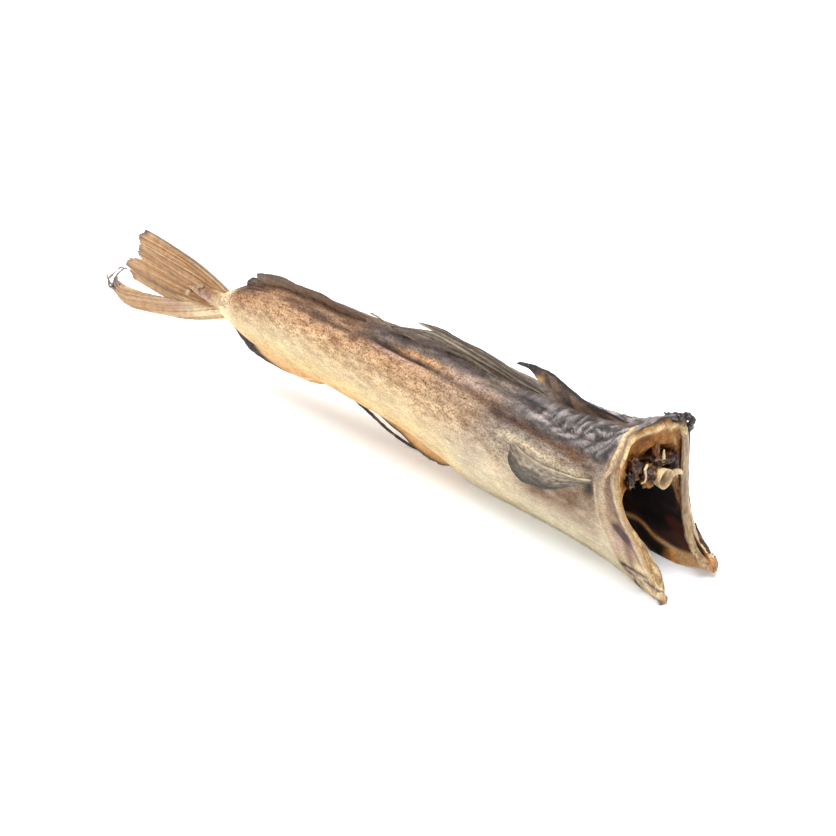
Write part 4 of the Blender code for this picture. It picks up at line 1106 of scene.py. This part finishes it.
# The folded and the rear dorsal fins: shape, and how pale the rays are.
REAR_FINS = {"second_dorsal_upper": (UPPER_LEAF, 0.6), "second_dorsal_middle": (MIDDLE_LEAF, 0.75),
             "second_dorsal_lower": (LOWER_LEAF, 0.65), "second_dorsal_whisker": (WHISKER, 0.3),
             "third_dorsal_fin": (THIRD_DORSAL, 0.2), "third_dorsal_tooth": (THIRD_DORSAL_TOOTH, 0.1)}
FIRST_ANAL = dict(
    root=[(0.088, 0.014), (0.04, 0.025), (-0.026, 0.032)],
    edge=[(0.084, 0.006), (0.064, 0.001), (0.042, 0.0035), (0.022, 0.0138), (-0.006, 0.025),
          (-0.034, 0.0298)],
    rays=22, lean=-0.005, thickness=0.003, fray=0.08, seed=70, sweep=0.5)
ANAL_STRAND = dict(
    root=[(-0.038, 0.0264), (-0.018, 0.0202), (-0.0033, 0.0141), (0.0116, 0.0072), (0.033, 0.003),
          (0.055, 0.0024)],
    edge=[(-0.04, 0.0253), (-0.019, 0.0184), (-0.0045, 0.012), (0.0105, 0.005), (0.032, 0.001),
          (0.055, 0.0008)],
    rays=5, lean=-0.0012, wave=0.0004, waves=1.5, thickness=0.0016, fray=0.05, seed=73, columns=140,
    rows=14)
SECOND_ANAL = dict(
    root=[(-0.044, 0.033), (-0.1, 0.035), (-0.142, 0.045)],
    edge=[(-0.044, 0.0275), (-0.06, 0.0222), (-0.078, 0.0198), (-0.1, 0.0184), (-0.127, 0.0224),
          (-0.141, 0.0288), (-0.156, 0.0395)],
    rays=20, lean=-0.002, thickness=0.0024, fray=0.08, seed=76, sweep=0.5)
# The anal fins: shape, where the black edge begins, and how much nearer the root toward the tail.
BELLY_FINS = {"first_anal_fin": (FIRST_ANAL, 0.89, 0.0), "anal_strand": (ANAL_STRAND, 0.0, 0.0),
              "second_anal_fin": (SECOND_ANAL, 1.02, 0.55)}


class STOCKFISH_OT_back_fins(bpy.types.Operator):
    """Make the three dorsal fins; the second is folded down, with a loose strand behind it."""

    bl_idname = "stockfish.back_fins"
    bl_label = "Dorsal fins"

    def execute(self, context):
        c = colours()
        sheet, s, t, _, streak = blade(**FIRST_DORSAL)
        fin_piece("first_dorsal_fin", sheet, paint(
            c.fin_dark * (2.9, 2.6, 2.2), (0.8 * ramp(streak, 0.0, 0.7), c.brown * 0.9),
            (0.8 * ramp(t, 0.3, 0.05) * ramp(s, 0.7, 0.55), c.flank * 0.6),
            (0.9 * bump(s - 0.62, 0.06) * ramp(t, 0.45, 0.1), c.fin_gold),
            (ramp(t, 0.7, 0.92), c.fin_dark), (ramp(s, 0.66, 0.78), c.fin_dark)))
        for name, (shape, pale) in REAR_FINS.items():
            sheet, s, t, ridge, streak = blade(**shape)
            tint = dorsal_tint(t, ridge, streak, pale)
            if shape is THIRD_DORSAL:
                tint = paint(tint, (0.6 + 0.4 * streak, c.brown * (0.86, 0.78, 0.68)),
                             (0.8 * ramp(t, 0.6, 0.2), c.brown * (0.6, 0.56, 0.52)),
                             (0.4 * ramp(t, 0.8, 0.95), c.dark))
            fin_piece(name, sheet, tint)
        return {"FINISHED"}


class STOCKFISH_OT_belly_fins(bpy.types.Operator):
    """Make the two anal fins and a loose strand: cream and golden, with a black edge."""

    bl_idname = "stockfish.belly_fins"
    bl_label = "Anal fins"

    def execute(self, context):
        c = colours()
        for name, (shape, first, nearer) in BELLY_FINS.items():
            sheet, s, t, _, streak = blade(**shape)
            black = ramp(t + nearer * ramp(s, 0.4, 0.85), first - 0.1, first + 0.1)
            stain = ramp(t, 0.66, 0.9) * (1 - 0.7 * (nearer > 0) * ramp(s, 0.15, 0.4))
            fin_piece(name, sheet, paint(
                c.cream, (0.65 * ramp(t, 0.25, 0.6), c.fin_gold * (1.45, 1.3, 0.95)),
                (0.45 * stain, c.fin_gold * (0.75, 0.5, 0.38)),
                (0.25 * ramp(streak, 0.0, -0.8), c.fin_gold), (0.5 * ramp(streak, 0.1, 0.8), c.cream * 1.2),
                (black, c.fin_dark), (0.5 * black * ramp(streak, 0.3, 0.9), c.fin_gold * 0.4)))
        return {"FINISHED"}


class STOCKFISH_OT_flank_fins(bpy.types.Operator):
    """Make the pectoral fins, crescents pressed flat against the flanks."""

    bl_idname = "stockfish.flank_fins"
    bl_label = "Pectoral fins"

    def execute(self, context):
        c = colours()
        s, t = steps(PECTORAL_COLUMNS)[None, :], steps(PECTORAL_ROWS)[:, None]
        upper = smooth(PECTORAL_S, PECTORAL_UPPER_V, s)
        lower = smooth(PECTORAL_S, PECTORAL_LOWER_V, s) + 0.0018 * noise(73, 0.05, s)
        x = PECTORAL_ROOT_X - PECTORAL_LENGTH * s - 0.0012 * t * np.sin(9 * s)
        v = upper + (lower - upper) * t
        ridge = 0.5 + 0.5 * np.cos(2 * pi * PECTORAL_RAYS * t + 3 * s)
        lift = 0.0003 + 0.0005 * bump(t - 0.06, 0.07) + 0.001 * ramp(t, 0.6, 0.95) * ramp(s, 0.3, 0.7)
        half = PECTORAL_HALF * (0.6 + 0.5 * ridge) * border(PECTORAL_ROWS, PECTORAL_COLUMNS, 2.0)
        streak = rough(74, (0.5, 0.045), s, t - 0.1 * np.sin(3 * s))
        fleck = rough(75, (0.05, 0.07), s, t)
        tint = paint(c.flank_grey * 0.66 + c.brown * 0.12, (0.6 * ramp(streak, 0.1, 0.7), c.flank_grey),
                     (0.5 * ramp(streak, 0.0, -0.7), c.fin_dark * 2.0),
                     (0.55 * ramp(fleck, 0.0, -0.7), c.fin_dark * 1.6),
                     (0.6 * ramp(fleck, 0.1, 0.7), c.belly_grey * 0.9),
                     (0.45 * bump(t - 0.04, 0.05) * ramp(s, 0.6, 0.25), c.girdle_pale),
                     (0.75 * ramp(t, 0.2, 0.03) * between(s, 0.3, 0.6, 0.85, 0.98), c.flank_grey),
                     # the dark lower and rear rim: partly the fin's own dark edge, partly painted shade under
                     # its lifted edge
                     (0.75 * ramp(t + 0.6 * s, 0.75, 1.25), c.fin_dark * 1.5),
                     (0.9 * ramp(t, 0.76, 0.94) * ramp(s, 0.15, 0.5), c.fin_dark))
        for name, side in (("right_pectoral_fin", -1.0), ("left_pectoral_fin", 1.0)):
            fin_piece(name, thin_shell(skin_point(x, v, side, lift), half), tint)
        return {"FINISHED"}


TAIL_LOBE = dict(
    root=[(-0.158, 0.068), (-0.165, 0.056), (-0.17, 0.0465)],
    edge=[(-0.258, 0.0875), (-0.2655, 0.079), (-0.269, 0.069), (-0.273, 0.059), (-0.284, 0.047),
          (-0.279, 0.033)],
    rays=46, wave=0.0022, thickness=0.003, fray=0.05, bulge=(0.0056, 0.008), columns=320, rows=90, seed=80)
TAIL_STRIP = dict(
    root=[(-0.168, 0.055), (-0.204, 0.0415), (-0.237, 0.0318), (-0.269, 0.0248), (-0.288, 0.023),
          (-0.3, 0.026)],
    edge=[(-0.16, 0.042), (-0.195, 0.0285), (-0.226, 0.0182), (-0.257, 0.011), (-0.284, 0.0075),
          (-0.304, 0.015)],
    rays=8, lean=-0.003, thickness=0.003, columns=200, seed=84, sweep=1.2)
# Frayed ray ends between the lower strip's tip and the upper lobe: (x, y, z) points.
FRAYS = (((-0.297, -0.015, 0.017), (-0.303, -0.016, 0.0175), (-0.3045, -0.015, 0.023),
          (-0.3, -0.015, 0.029), (-0.294, -0.014, 0.0355), (-0.287, -0.014, 0.0412),
          (-0.281, -0.013, 0.0415)),
         ((-0.2925, -0.014, 0.022), (-0.294, -0.015, 0.0295), (-0.2895, -0.014, 0.0365),
          (-0.2832, -0.013, 0.0421)),
         ((-0.2952, -0.015, 0.02), (-0.2975, -0.015, 0.0262), (-0.293, -0.014, 0.0325)),
         ((-0.3, -0.015, 0.019), (-0.306, -0.014, 0.0215), (-0.3075, -0.014, 0.0265)))


def torn(s):
    """The tail's ray ends: a notch below the upper corner and a tuft at the lower one."""
    notches = 0.035 * bump(s - 0.3, 0.05) + 0.07 * bump(s - 0.6, 0.03) + 0.05 * bump(s - 0.86, 0.02)
    return 1 - notches - 0.022 * (0.5 + 0.5 * noise(86, 0.012, s))


class STOCKFISH_OT_tail(bpy.types.Operator):
    """Make the tail fin: the bony hub, the upper lobe, the lower strip and its frayed ends."""

    bl_idname = "stockfish.tail"
    bl_label = "Tail"

    def execute(self, context):
        c = colours()
        sheet, s, t, ridge, streak = blade(tatter=torn, **TAIL_LOBE)
        end = ramp(t, 0.9, 0.99)
        fin_piece("tail_upper_lobe", sheet, paint(
            c.tail, (0.35 * (1 - ridge), c.tail_dark), (0.55 * ramp(streak, 0.1, 0.9), c.cream),
            (0.5 * ramp(streak, -0.1, -0.9), c.tail_dark), (0.75 * ramp(s, 0.06, 0.0), c.fin),
            (0.6 * bump(s - 0.84, 0.03) * between(t, 0.35, 0.5, 0.85, 0.97), c.furrow),
            (0.6 * end, c.fin), (0.8 * end * bump(s - 0.05, 0.07), c.fin_dark)))
        sheet, s, t, _, streak = blade(**TAIL_STRIP)
        fin_piece("tail_lower_strip", sheet, paint(
            c.cream, (ramp(s, 0.1, 0.36), c.tail * 0.9), (0.35 * ramp(streak, 0.0, 0.7), c.cream),
            (0.6 * ramp(streak, -0.1, -0.8), c.tail_dark),
            (0.5 * ramp(t, 0.8, 1.0) * ramp(s, 0.4, 0.7), c.tail_dark),
            (0.5 * bump(s - 0.3, 0.15) * bump(t - 0.25, 0.25), c.pink),
            (0.7 * ramp(s, 0.95, 1.0), c.bruise)))
        share = steps(60)
        strands = []
        for k, way in enumerate(FRAYS):
            radii = 0.001 * (1 - 0.5 * share) * (1 + 0.5 * noise(90 + k, 0.07, share))
            strands.append((*rod(through(way, share), radii, 10, up=UPWARD), c.ash * 0.8 + c.pink * 0.2))
        joined_piece("tail_frayed_rays", strands, dried_fin)
        joined_piece("tail_hub", hub_parts(c), dried_bone)
        return {"FINISHED"}


def lump(centre, radii, seed, knobs, size, rows=40, columns=60):
    """Points and faces of an egg-shaped lump with a knobbly surface, and each point's direction:
    a sphere, scaled, each point moved out by noise."""
    polar = np.linspace(0.0, pi, rows)[:, None]
    turn = np.linspace(0.0, 2 * pi, columns, endpoint=False)[None, :]
    unit = np.stack([np.sin(polar) * np.cos(turn), np.sin(polar) * np.sin(turn),
                     np.cos(polar) + 0 * turn], -1).reshape(-1, 3)
    swell = 1 + knobs * rough(seed, size, *unit.T)
    points = np.asarray(centre) + unit * swell[:, None] * np.asarray(radii)
    return points, grid_faces(rows, columns, wrap=True), unit


HUB_WAY = ((-0.15, -0.012, 0.0575), (-0.165, -0.0125, 0.057), (-0.18, -0.0135, 0.0568),
           (-0.192, -0.014, 0.0562), (-0.204, -0.0145, 0.0542))
HUB_RADII = (0.0062, 0.009, 0.0072, 0.0046, 0.0015)
HUB_Y, HUB_Z = -0.0135, 0.0568      # the middle toward which the hub is flattened
HUB_KNOBS = (((-0.203, -0.0165, 0.0518), 0.0026), ((-0.196, -0.0162, 0.058), 0.0018),
             ((-0.1895, -0.016, 0.0628), 0.0017), ((-0.1862, -0.0158, 0.0643), 0.0019))


def hub_parts(c):
    """The bony joint behind the stem: a flattened rod with a pinkish-brown patch on its side, painted
    darker as the shade of a hollow, and four round knobs at its end."""
    share = steps(70)
    radii = smooth(steps(len(HUB_RADII)), HUB_RADII, share) * (1 + 0.06 * noise(95, 0.3, share))
    points, faces = rod(through(HUB_WAY, share), radii, 32, 2.0, UPWARD, 0.03)
    points[:, 1] = HUB_Y + 0.5 * (points[:, 1] - HUB_Y)
    points[:, 2] = HUB_Z + 0.46 * (points[:, 2] - HUB_Z)
    points[:, 1] += 0.0007 * rough(98, (0.005, 0.0035), points[:, 0], points[:, 2])
    x, z = points[:, 0], points[:, 2]
    tone = rough(96, (0.006, 0.003), x, z)
    patch = bump(x + 0.184, 0.012) * bump(z - 0.0585, 0.0055)
    tint = paint(c.cream, (0.85 * ramp(x, -0.158, -0.176), c.tail * 1.05),
                 (0.5 * ramp(tone, 0.1, -0.6), c.tail),
                 # painted shade of a hollow: a darker pinkish-brown patch and a dark line along its upper
                 # edge
                 (0.9 * patch * (1 + 0.5 * tone), c.pink * 0.4 + c.tail_dark * 0.6),
                 (0.6 * bump(x + 0.174, 0.01) * bump(z - 0.063, 0.0016), c.tail_dark))
    parts = [(points, faces, tint)]
    for place, radius in HUB_KNOBS:
        knob, faces, _ = lump(place, (radius, radius * 0.8, radius), 97, 0.14, 0.8, 16, 24)
        parts.append((knob, faces, c.pink * 0.35 + c.cream * 0.4))
    return parts


# -------- bones


# Ribs and broken processes at the foremost vertebra: points, width at the root, flatness.
BONE_SPURS = (
    (((0.2735, 0.006, 0.08), (0.2745, 0.0135, 0.0805), (0.275, 0.019, 0.079),
      (0.2745, 0.0235, 0.0745)), 0.0034, 0.5),
    (((0.269, -0.0125, 0.0955), (0.271, -0.0145, 0.0985), (0.2725, -0.0185, 0.0975),
      (0.273, -0.0175, 0.0925), (0.2735, -0.0195, 0.0885), (0.2735, -0.0235, 0.089)), 0.0013, 0.8),
    (((0.27, 0.006, 0.09), (0.271, 0.0045, 0.096), (0.2705, 0.005, 0.1025)), 0.0024, 0.6),
)
SPINE_RINGS, SPINE_SIDES = 420, 40
CUP_RINGS = 12
CUP_DEPTH = 0.0058
COLLAR_RINGS, RIGHT_COLLAR_SIDES, LEFT_COLLAR_SIDES = 120, 24, 36


def spine_point(x):
    """A point of the backbone's middle line."""
    return np.stack([x, along(CENTRE_Y, x), smooth(SPINE_X, SPINE_Z, x)], -1)


class STOCKFISH_OT_backbone(bpy.types.Operator):
    """Make the backbone, a row of hourglass vertebrae with a cup in the foremost, and its ribs."""

    bl_idname = "stockfish.backbone"
    bl_label = "Backbone"

    def execute(self, context):
        c = colours()
        x = np.linspace(SPINE_X[0], SPINE_X[-1], SPINE_RINGS)
        waist = np.abs(np.cos(pi * (SPINE_X[0] - x) / VERTEBRA_LENGTH))**0.7
        radii = smooth(SPINE_X, SPINE_RADIUS, x) * (0.8 + 0.2 * waist)
        cup = np.linspace(0.12, 1.0, CUP_RINGS)
        path = np.concatenate([spine_point(SPINE_X[0] - CUP_DEPTH * (1 - cup**1.6)), spine_point(x)])
        radii = np.concatenate([radii[0] * 0.98 * cup, radii])
        turn = np.linspace(0.0, 2 * pi, SPINE_SIDES, endpoint=False)[None, :]
        reach = radii[:, None] * (1 + 0.05 * noise(101, (0.012, 0.9), path[:, :1], turn))
        rings = np.stack([path[:, :1] + 0 * turn, path[:, 1:2] + reach * np.cos(turn),
                          path[:, 2:] + reach * np.sin(turn)], -1)
        points, faces = closed_rings(path, rings)
        ring = np.repeat(np.arange(len(path) + 2), SPINE_SIDES)
        # Painted shade: the cup darkens toward its bottom, which is near black, and the bone behind the
        # neck's cut is deep flesh colour.
        parts = [(points, faces, paint(
            c.bone, (0.9 * ramp(ring, CUP_RINGS, 4), c.bone_dark * (0.45, 0.6, 0.35)),
            (0.9 * ramp(ring, 5, 2), c.lining), (ramp(ring, 18, 30), c.flesh_dark)))]
        share = steps(50)
        for way, width, flat in BONE_SPURS:
            spur = rod(through(way, share), width * (1 - 0.75 * share**1.5), 14, flat)
            parts.append((*spur, c.bone * 0.85 + c.bone_dark * 0.15))
        joined_piece("backbone_and_ribs", parts, dried_bone, "bone", "backbone")
        return {"FINISHED"}


class STOCKFISH_OT_collar_bones(bpy.types.Operator):
    """Make the collar bones: a bar behind the near edge of the neck and a strap along its far edge."""

    bl_idname = "stockfish.collar_bones"
    bl_label = "Collar bones"

    def execute(self, context):
        c = colours()
        share = steps(COLLAR_RINGS)
        v = RIGHT_COLLAR_V[0] + share * (RIGHT_COLLAR_V[-1] - RIGHT_COLLAR_V[0])
        path = skin_point(smooth(RIGHT_COLLAR_V, RIGHT_COLLAR_X, v), v, -1.0, -0.0004)
        radii = 0.0027 * (0.6 + 0.4 * np.sin(pi * share)**0.5) * (1 + 0.1 * noise(111, 0.07, share))
        order = rod_share(COLLAR_RINGS, RIGHT_COLLAR_SIDES)
        tint = paint(c.bone, (0.5 * bump(order - 1, 0.25), c.pink), (0.35 * bump(order, 0.15), c.bone_dark))
        new_piece("right_collar_bone", *rod(path, radii, RIGHT_COLLAR_SIDES, 0.85, ridges=0.05),
                  dried_bone, tint, "bone", "collar_bone_right")
        v = LEFT_COLLAR_V[0] + share * (LEFT_COLLAR_V[1] - LEFT_COLLAR_V[0])
        path = skin_point(neck_x(v, 1.0), v, 1.0, -LEFT_COLLAR_DEPTH) + (0.0008, 0.0, 0.0)
        radii = smooth(*LEFT_COLLAR_RADII, share) * (1 + 0.1 * noise(112, 0.05, share))
        order = rod_share(COLLAR_RINGS, LEFT_COLLAR_SIDES)
        around = np.tile(np.arange(LEFT_COLLAR_SIDES), COLLAR_RINGS + 2)
        streaks = rough(113, (0.3, 2.5), order, around)
        tint = paint(c.bone * 0.66 + c.girdle * 0.12,
                     (0.55 * bump(order - 0.45, 0.2), c.girdle_dark * (1.2, 1.15, 1.0)),
                     (0.8 * ramp(streaks, 0.0, -0.7), c.girdle_dark), (0.7 * ramp(streaks, 0.1, 0.8), c.bone),
                     (0.5 * bump(order, 0.2), c.girdle), (0.5 * ramp(order, 0.8, 1.0), c.bone_dark))
        new_piece("left_collar_bone", *rod(path, radii, LEFT_COLLAR_SIDES, 0.5, ridges=0.07),
                  dried_bone, tint, "bone", "collar_bone_left")
        return {"FINISHED"}


# -------- shrivelled ends

# The flaps' curled free ends by piece: side, reach along v, lift from the skin, radii along it,
# flatness, and the colours it begins and ends with.
CURLS = {
    "near_flap_tip": (
        (-1.0, (0.7, 0.97), -0.0022, (0.0006, 0.0016, 0.003, 0.004, 0.0034, 0.0012), 0.7,
         "flesh_pale", "flesh"),),
    "far_flap_tip": (
        (1.0, (0.74, 0.97), -0.0034, (0.001, 0.003, 0.0056, 0.007, 0.0062, 0.0022), 0.7,
         "flesh_pale", "tip"),
        (1.0, (0.7, 0.945), 0.0016, (0.0006, 0.0022, 0.0036, 0.0038, 0.0014), 0.8,
         "furrow", "furrow")),
}
CURL_RINGS, CURL_SIDES = 90, 30
CURL_LOWEST_Z = 0.0004
# Lumps of skin and gristle on the nape, and of flesh and membrane about the backbone: centre,
# radii, colour.
LUMPS = {
    "nape_horn": (
        ((0.2665, 0.0165, 0.1225), (0.006, 0.0036, 0.0024), "ash_dark"),
        ((0.2715, 0.0205, 0.1228), (0.0052, 0.0032, 0.003), "ash_dark"),
        ((0.2755, 0.0238, 0.124), (0.0034, 0.0027, 0.0027), "ash_dark"),
        ((0.278, 0.0255, 0.1208), (0.0022, 0.0025, 0.0036), "ash_dark"),
        ((0.2765, 0.0262, 0.115), (0.0022, 0.0028, 0.0042), "ash_dark"),
        ((0.2752, 0.0212, 0.1128), (0.0022, 0.0024, 0.0044), "flesh_pale")),
    "neck_scraps": (
        ((0.2655, -0.005, 0.0865), (0.008, 0.0075, 0.0055), "flesh_dark"),
        ((0.268, -0.0095, 0.0805), (0.005, 0.0045, 0.004), "flesh"),
        ((0.264, 0.007, 0.093), (0.008, 0.009, 0.0035), "flesh_dark"),
        ((0.2665, 0.014, 0.0905), (0.005, 0.005, 0.0045), "flesh_dark"),
        ((0.26, -0.015, 0.093), (0.006, 0.005, 0.008), "flesh_dark"),
        ((0.262, -0.0215, 0.085), (0.004, 0.003, 0.007), "lining"),
        ((0.266, 0.02, 0.083), (0.006, 0.0045, 0.009), "flesh_dark"),
        ((0.263, 0.0225, 0.096), (0.005, 0.003, 0.008), "flesh"),
        ((0.269, -0.0025, 0.083), (0.004, 0.0038, 0.0045), "flesh"),
        ((0.265, 0.003, 0.1), (0.003, 0.0022, 0.006), "bone_dark")),
}
KNOBBLY, SMOOTHER = 0.26, 0.2       # how far a lump's noise moves its points, as a share
# Painted shade: the scraps deep in the neck are darkened to this share of their colour; the horn on the nape
# is not.
LUMP_PAINTED_SHADE = {"nape_horn": 1.0, "neck_scraps": 0.62}


class STOCKFISH_OT_ends(bpy.types.Operator):
    """Make the shrivelled flap tips, the horn of skin on the nape and the scraps in the neck."""

    bl_idname = "stockfish.ends"
    bl_label = "Flap tips and nape"

    def execute(self, context):
        c = colours()
        share, order = steps(CURL_RINGS), rod_share(CURL_RINGS, CURL_SIDES)
        for name, curls in CURLS.items():
            parts = []
            for k, (side, (start, end), lift, radii, flat, first, last) in enumerate(curls):
                v = start + share * (end - start)
                radii = smooth(steps(len(radii)), radii, share) * (1 + 0.14 * rough(131 + k, 0.16, share))
                points, faces = rod(skin_point(neck_x(v, side), v, side, lift), radii, CURL_SIDES, flat,
                                    ridges=0.06)
                points[:, 2] = np.maximum(points[:, 2], CURL_LOWEST_Z)
                spots = rough(134 + k, (0.0035, 0.0045), points[:, 0], points[:, 1] + points[:, 2])
                parts.append((points, faces, paint(
                    getattr(c, first), (ramp(order + 0.25 * spots, 0.45, 0.85), getattr(c, last)),
                    (0.6 * ramp(spots, 0.1, 0.7), c.flesh_pale * (0.9 if first != "furrow" else 0.3)),
                    (0.8 * ramp(spots, -0.25, -0.7), c.furrow))))
            joined_piece(name, parts, dried_bone)
        for name, lumps in LUMPS.items():
            parts = []
            for k, (centre, radii, shade) in enumerate(lumps):
                knobs = SMOOTHER if shade == "flesh_pale" else KNOBBLY
                points, faces, unit = lump(centre, radii, 120 + k, knobs, 0.42)
                tone = rough(124 + k, 0.5, *unit.T)
                fleck = c.ash if shade == "ash_dark" else c.bone_dark * 0.9
                parts.append((points, faces, paint(
                    getattr(c, shade) * LUMP_PAINTED_SHADE[name], (0.9 * ramp(tone, 0.1, 0.6), fleck),
                    (0.7 * ramp(tone, -0.3, -0.9), c.furrow * 0.7))))
            joined_piece(name, parts, dried_bone)
        return {"FINISHED"}


# -------- stage

TARGET = (0.05, -0.013, 0.04)
FLOOR_SIZE = 6.0
WHITE = (1.0, 1.0, 1.0, 1.0)
PAPER = (0.9, 0.92, 0.945, 1.0)
CAMERA_SENSOR = 36.0
CAMERA_REACH = 50.0
LAMP_PLACE = (0.03, 0.1, 1.6)
LAMP_SIZE = 1.7


class STOCKFISH_OT_stage(bpy.types.Operator):
    """Make the white floor, the even soft light and the camera."""

    bl_idname = "stockfish.stage"
    bl_label = "Stage"

    def execute(self, context):
        settings = context.scene.stockfish_stage
        world = bpy.data.worlds.new("studio")
        world.use_nodes = True
        sky = world.node_tree.nodes["Background"]
        sky.inputs["Color"].default_value = WHITE
        sky.inputs["Strength"].default_value = settings.sky
        context.scene.world = world
        context.scene.view_settings.view_transform = "Standard"
        half = FLOOR_SIZE / 2
        mesh = bpy.data.meshes.new("floor")
        mesh.from_pydata([(-half, -half, 0), (half, -half, 0), (half, half, 0), (-half, half, 0)], [],
                         [(0, 1, 2, 3)])
        floor = bpy.data.objects.new("floor", mesh)
        context.scene.collection.objects.link(floor)
        made, _, shader = new_material("white_paper")
        shader.inputs["Base Color"].default_value = PAPER
        shader.inputs["Roughness"].default_value = 0.9
        # The floor glows by emission though it is no lamp: light that lightens the shadows and the fish's
        # underside.
        shader.inputs["Emission Color"].default_value = WHITE
        shader.inputs["Emission Strength"].default_value = settings.glow
        mesh.materials.append(made)
        lamp = bpy.data.lights.new("key", "AREA")
        lamp.shape, lamp.size, lamp.energy = "DISK", LAMP_SIZE, settings.key
        key = bpy.data.objects.new("key", lamp)
        key.location = LAMP_PLACE
        key.rotation_euler = (Vector(TARGET) - key.location).to_track_quat("-Z", "Y").to_euler()
        context.scene.collection.objects.link(key)
        camera = bpy.data.cameras.new("camera")
        camera.lens, camera.sensor_width = settings.lens, CAMERA_SENSOR
        camera.clip_end = CAMERA_REACH
        eye = bpy.data.objects.new("camera", camera)
        a, e = settings.azimuth, settings.elevation
        back = Vector((sin(a) * cos(e), -cos(a) * cos(e), sin(e)))
        eye.location = Vector(TARGET) + back * settings.distance
        eye.rotation_euler = (-back).to_track_quat("-Z", "Y").to_euler()
        context.scene.collection.objects.link(eye)
        context.scene.camera = eye
        return {"FINISHED"}


# -------- add-on


OPERATORS = (STOCKFISH_OT_body, STOCKFISH_OT_back_fins, STOCKFISH_OT_belly_fins,
             STOCKFISH_OT_flank_fins, STOCKFISH_OT_tail, STOCKFISH_OT_backbone,
             STOCKFISH_OT_collar_bones, STOCKFISH_OT_ends, STOCKFISH_OT_stage)
GROUPS = (("stockfish_colours", StockfishColours), ("stockfish_form", StockfishForm),
          ("stockfish_stage", StockfishStage))


class STOCKFISH_PT_panel(bpy.types.Panel):
    """Lists the pieces and their settings."""

    bl_idname = "STOCKFISH_PT_panel"
    bl_label = "Stockfish"
    bl_space_type = "VIEW_3D"
    bl_region_type = "UI"
    bl_category = "Stockfish"

    def draw(self, context):
        for operator in OPERATORS:
            self.layout.operator(operator.bl_idname)
        for title, group in GROUPS:
            box = self.layout.box()
            for name in group.__annotations__:
                box.prop(getattr(context.scene, title), name)


CLASSES = (*(group for _, group in GROUPS), *OPERATORS, STOCKFISH_PT_panel)


def register():
    """Register the classes and give the scene its settings."""
    for cls in CLASSES:
        bpy.utils.register_class(cls)
    for title, group in GROUPS:
        setattr(bpy.types.Scene, title, PointerProperty(type=group))


def unregister():
    """Take the settings and the classes away again."""
    for title, _ in GROUPS:
        delattr(bpy.types.Scene, title)
    for cls in reversed(CLASSES):
        bpy.utils.unregister_class(cls)


def main():
    """Make all pieces and the stage."""
    register()
    for operator in OPERATORS:
        group, name = operator.bl_idname.split(".")
        getattr(getattr(bpy.ops, group), name)()
    bpy.context.view_layer.update()


if __name__ == "__main__":
    main()
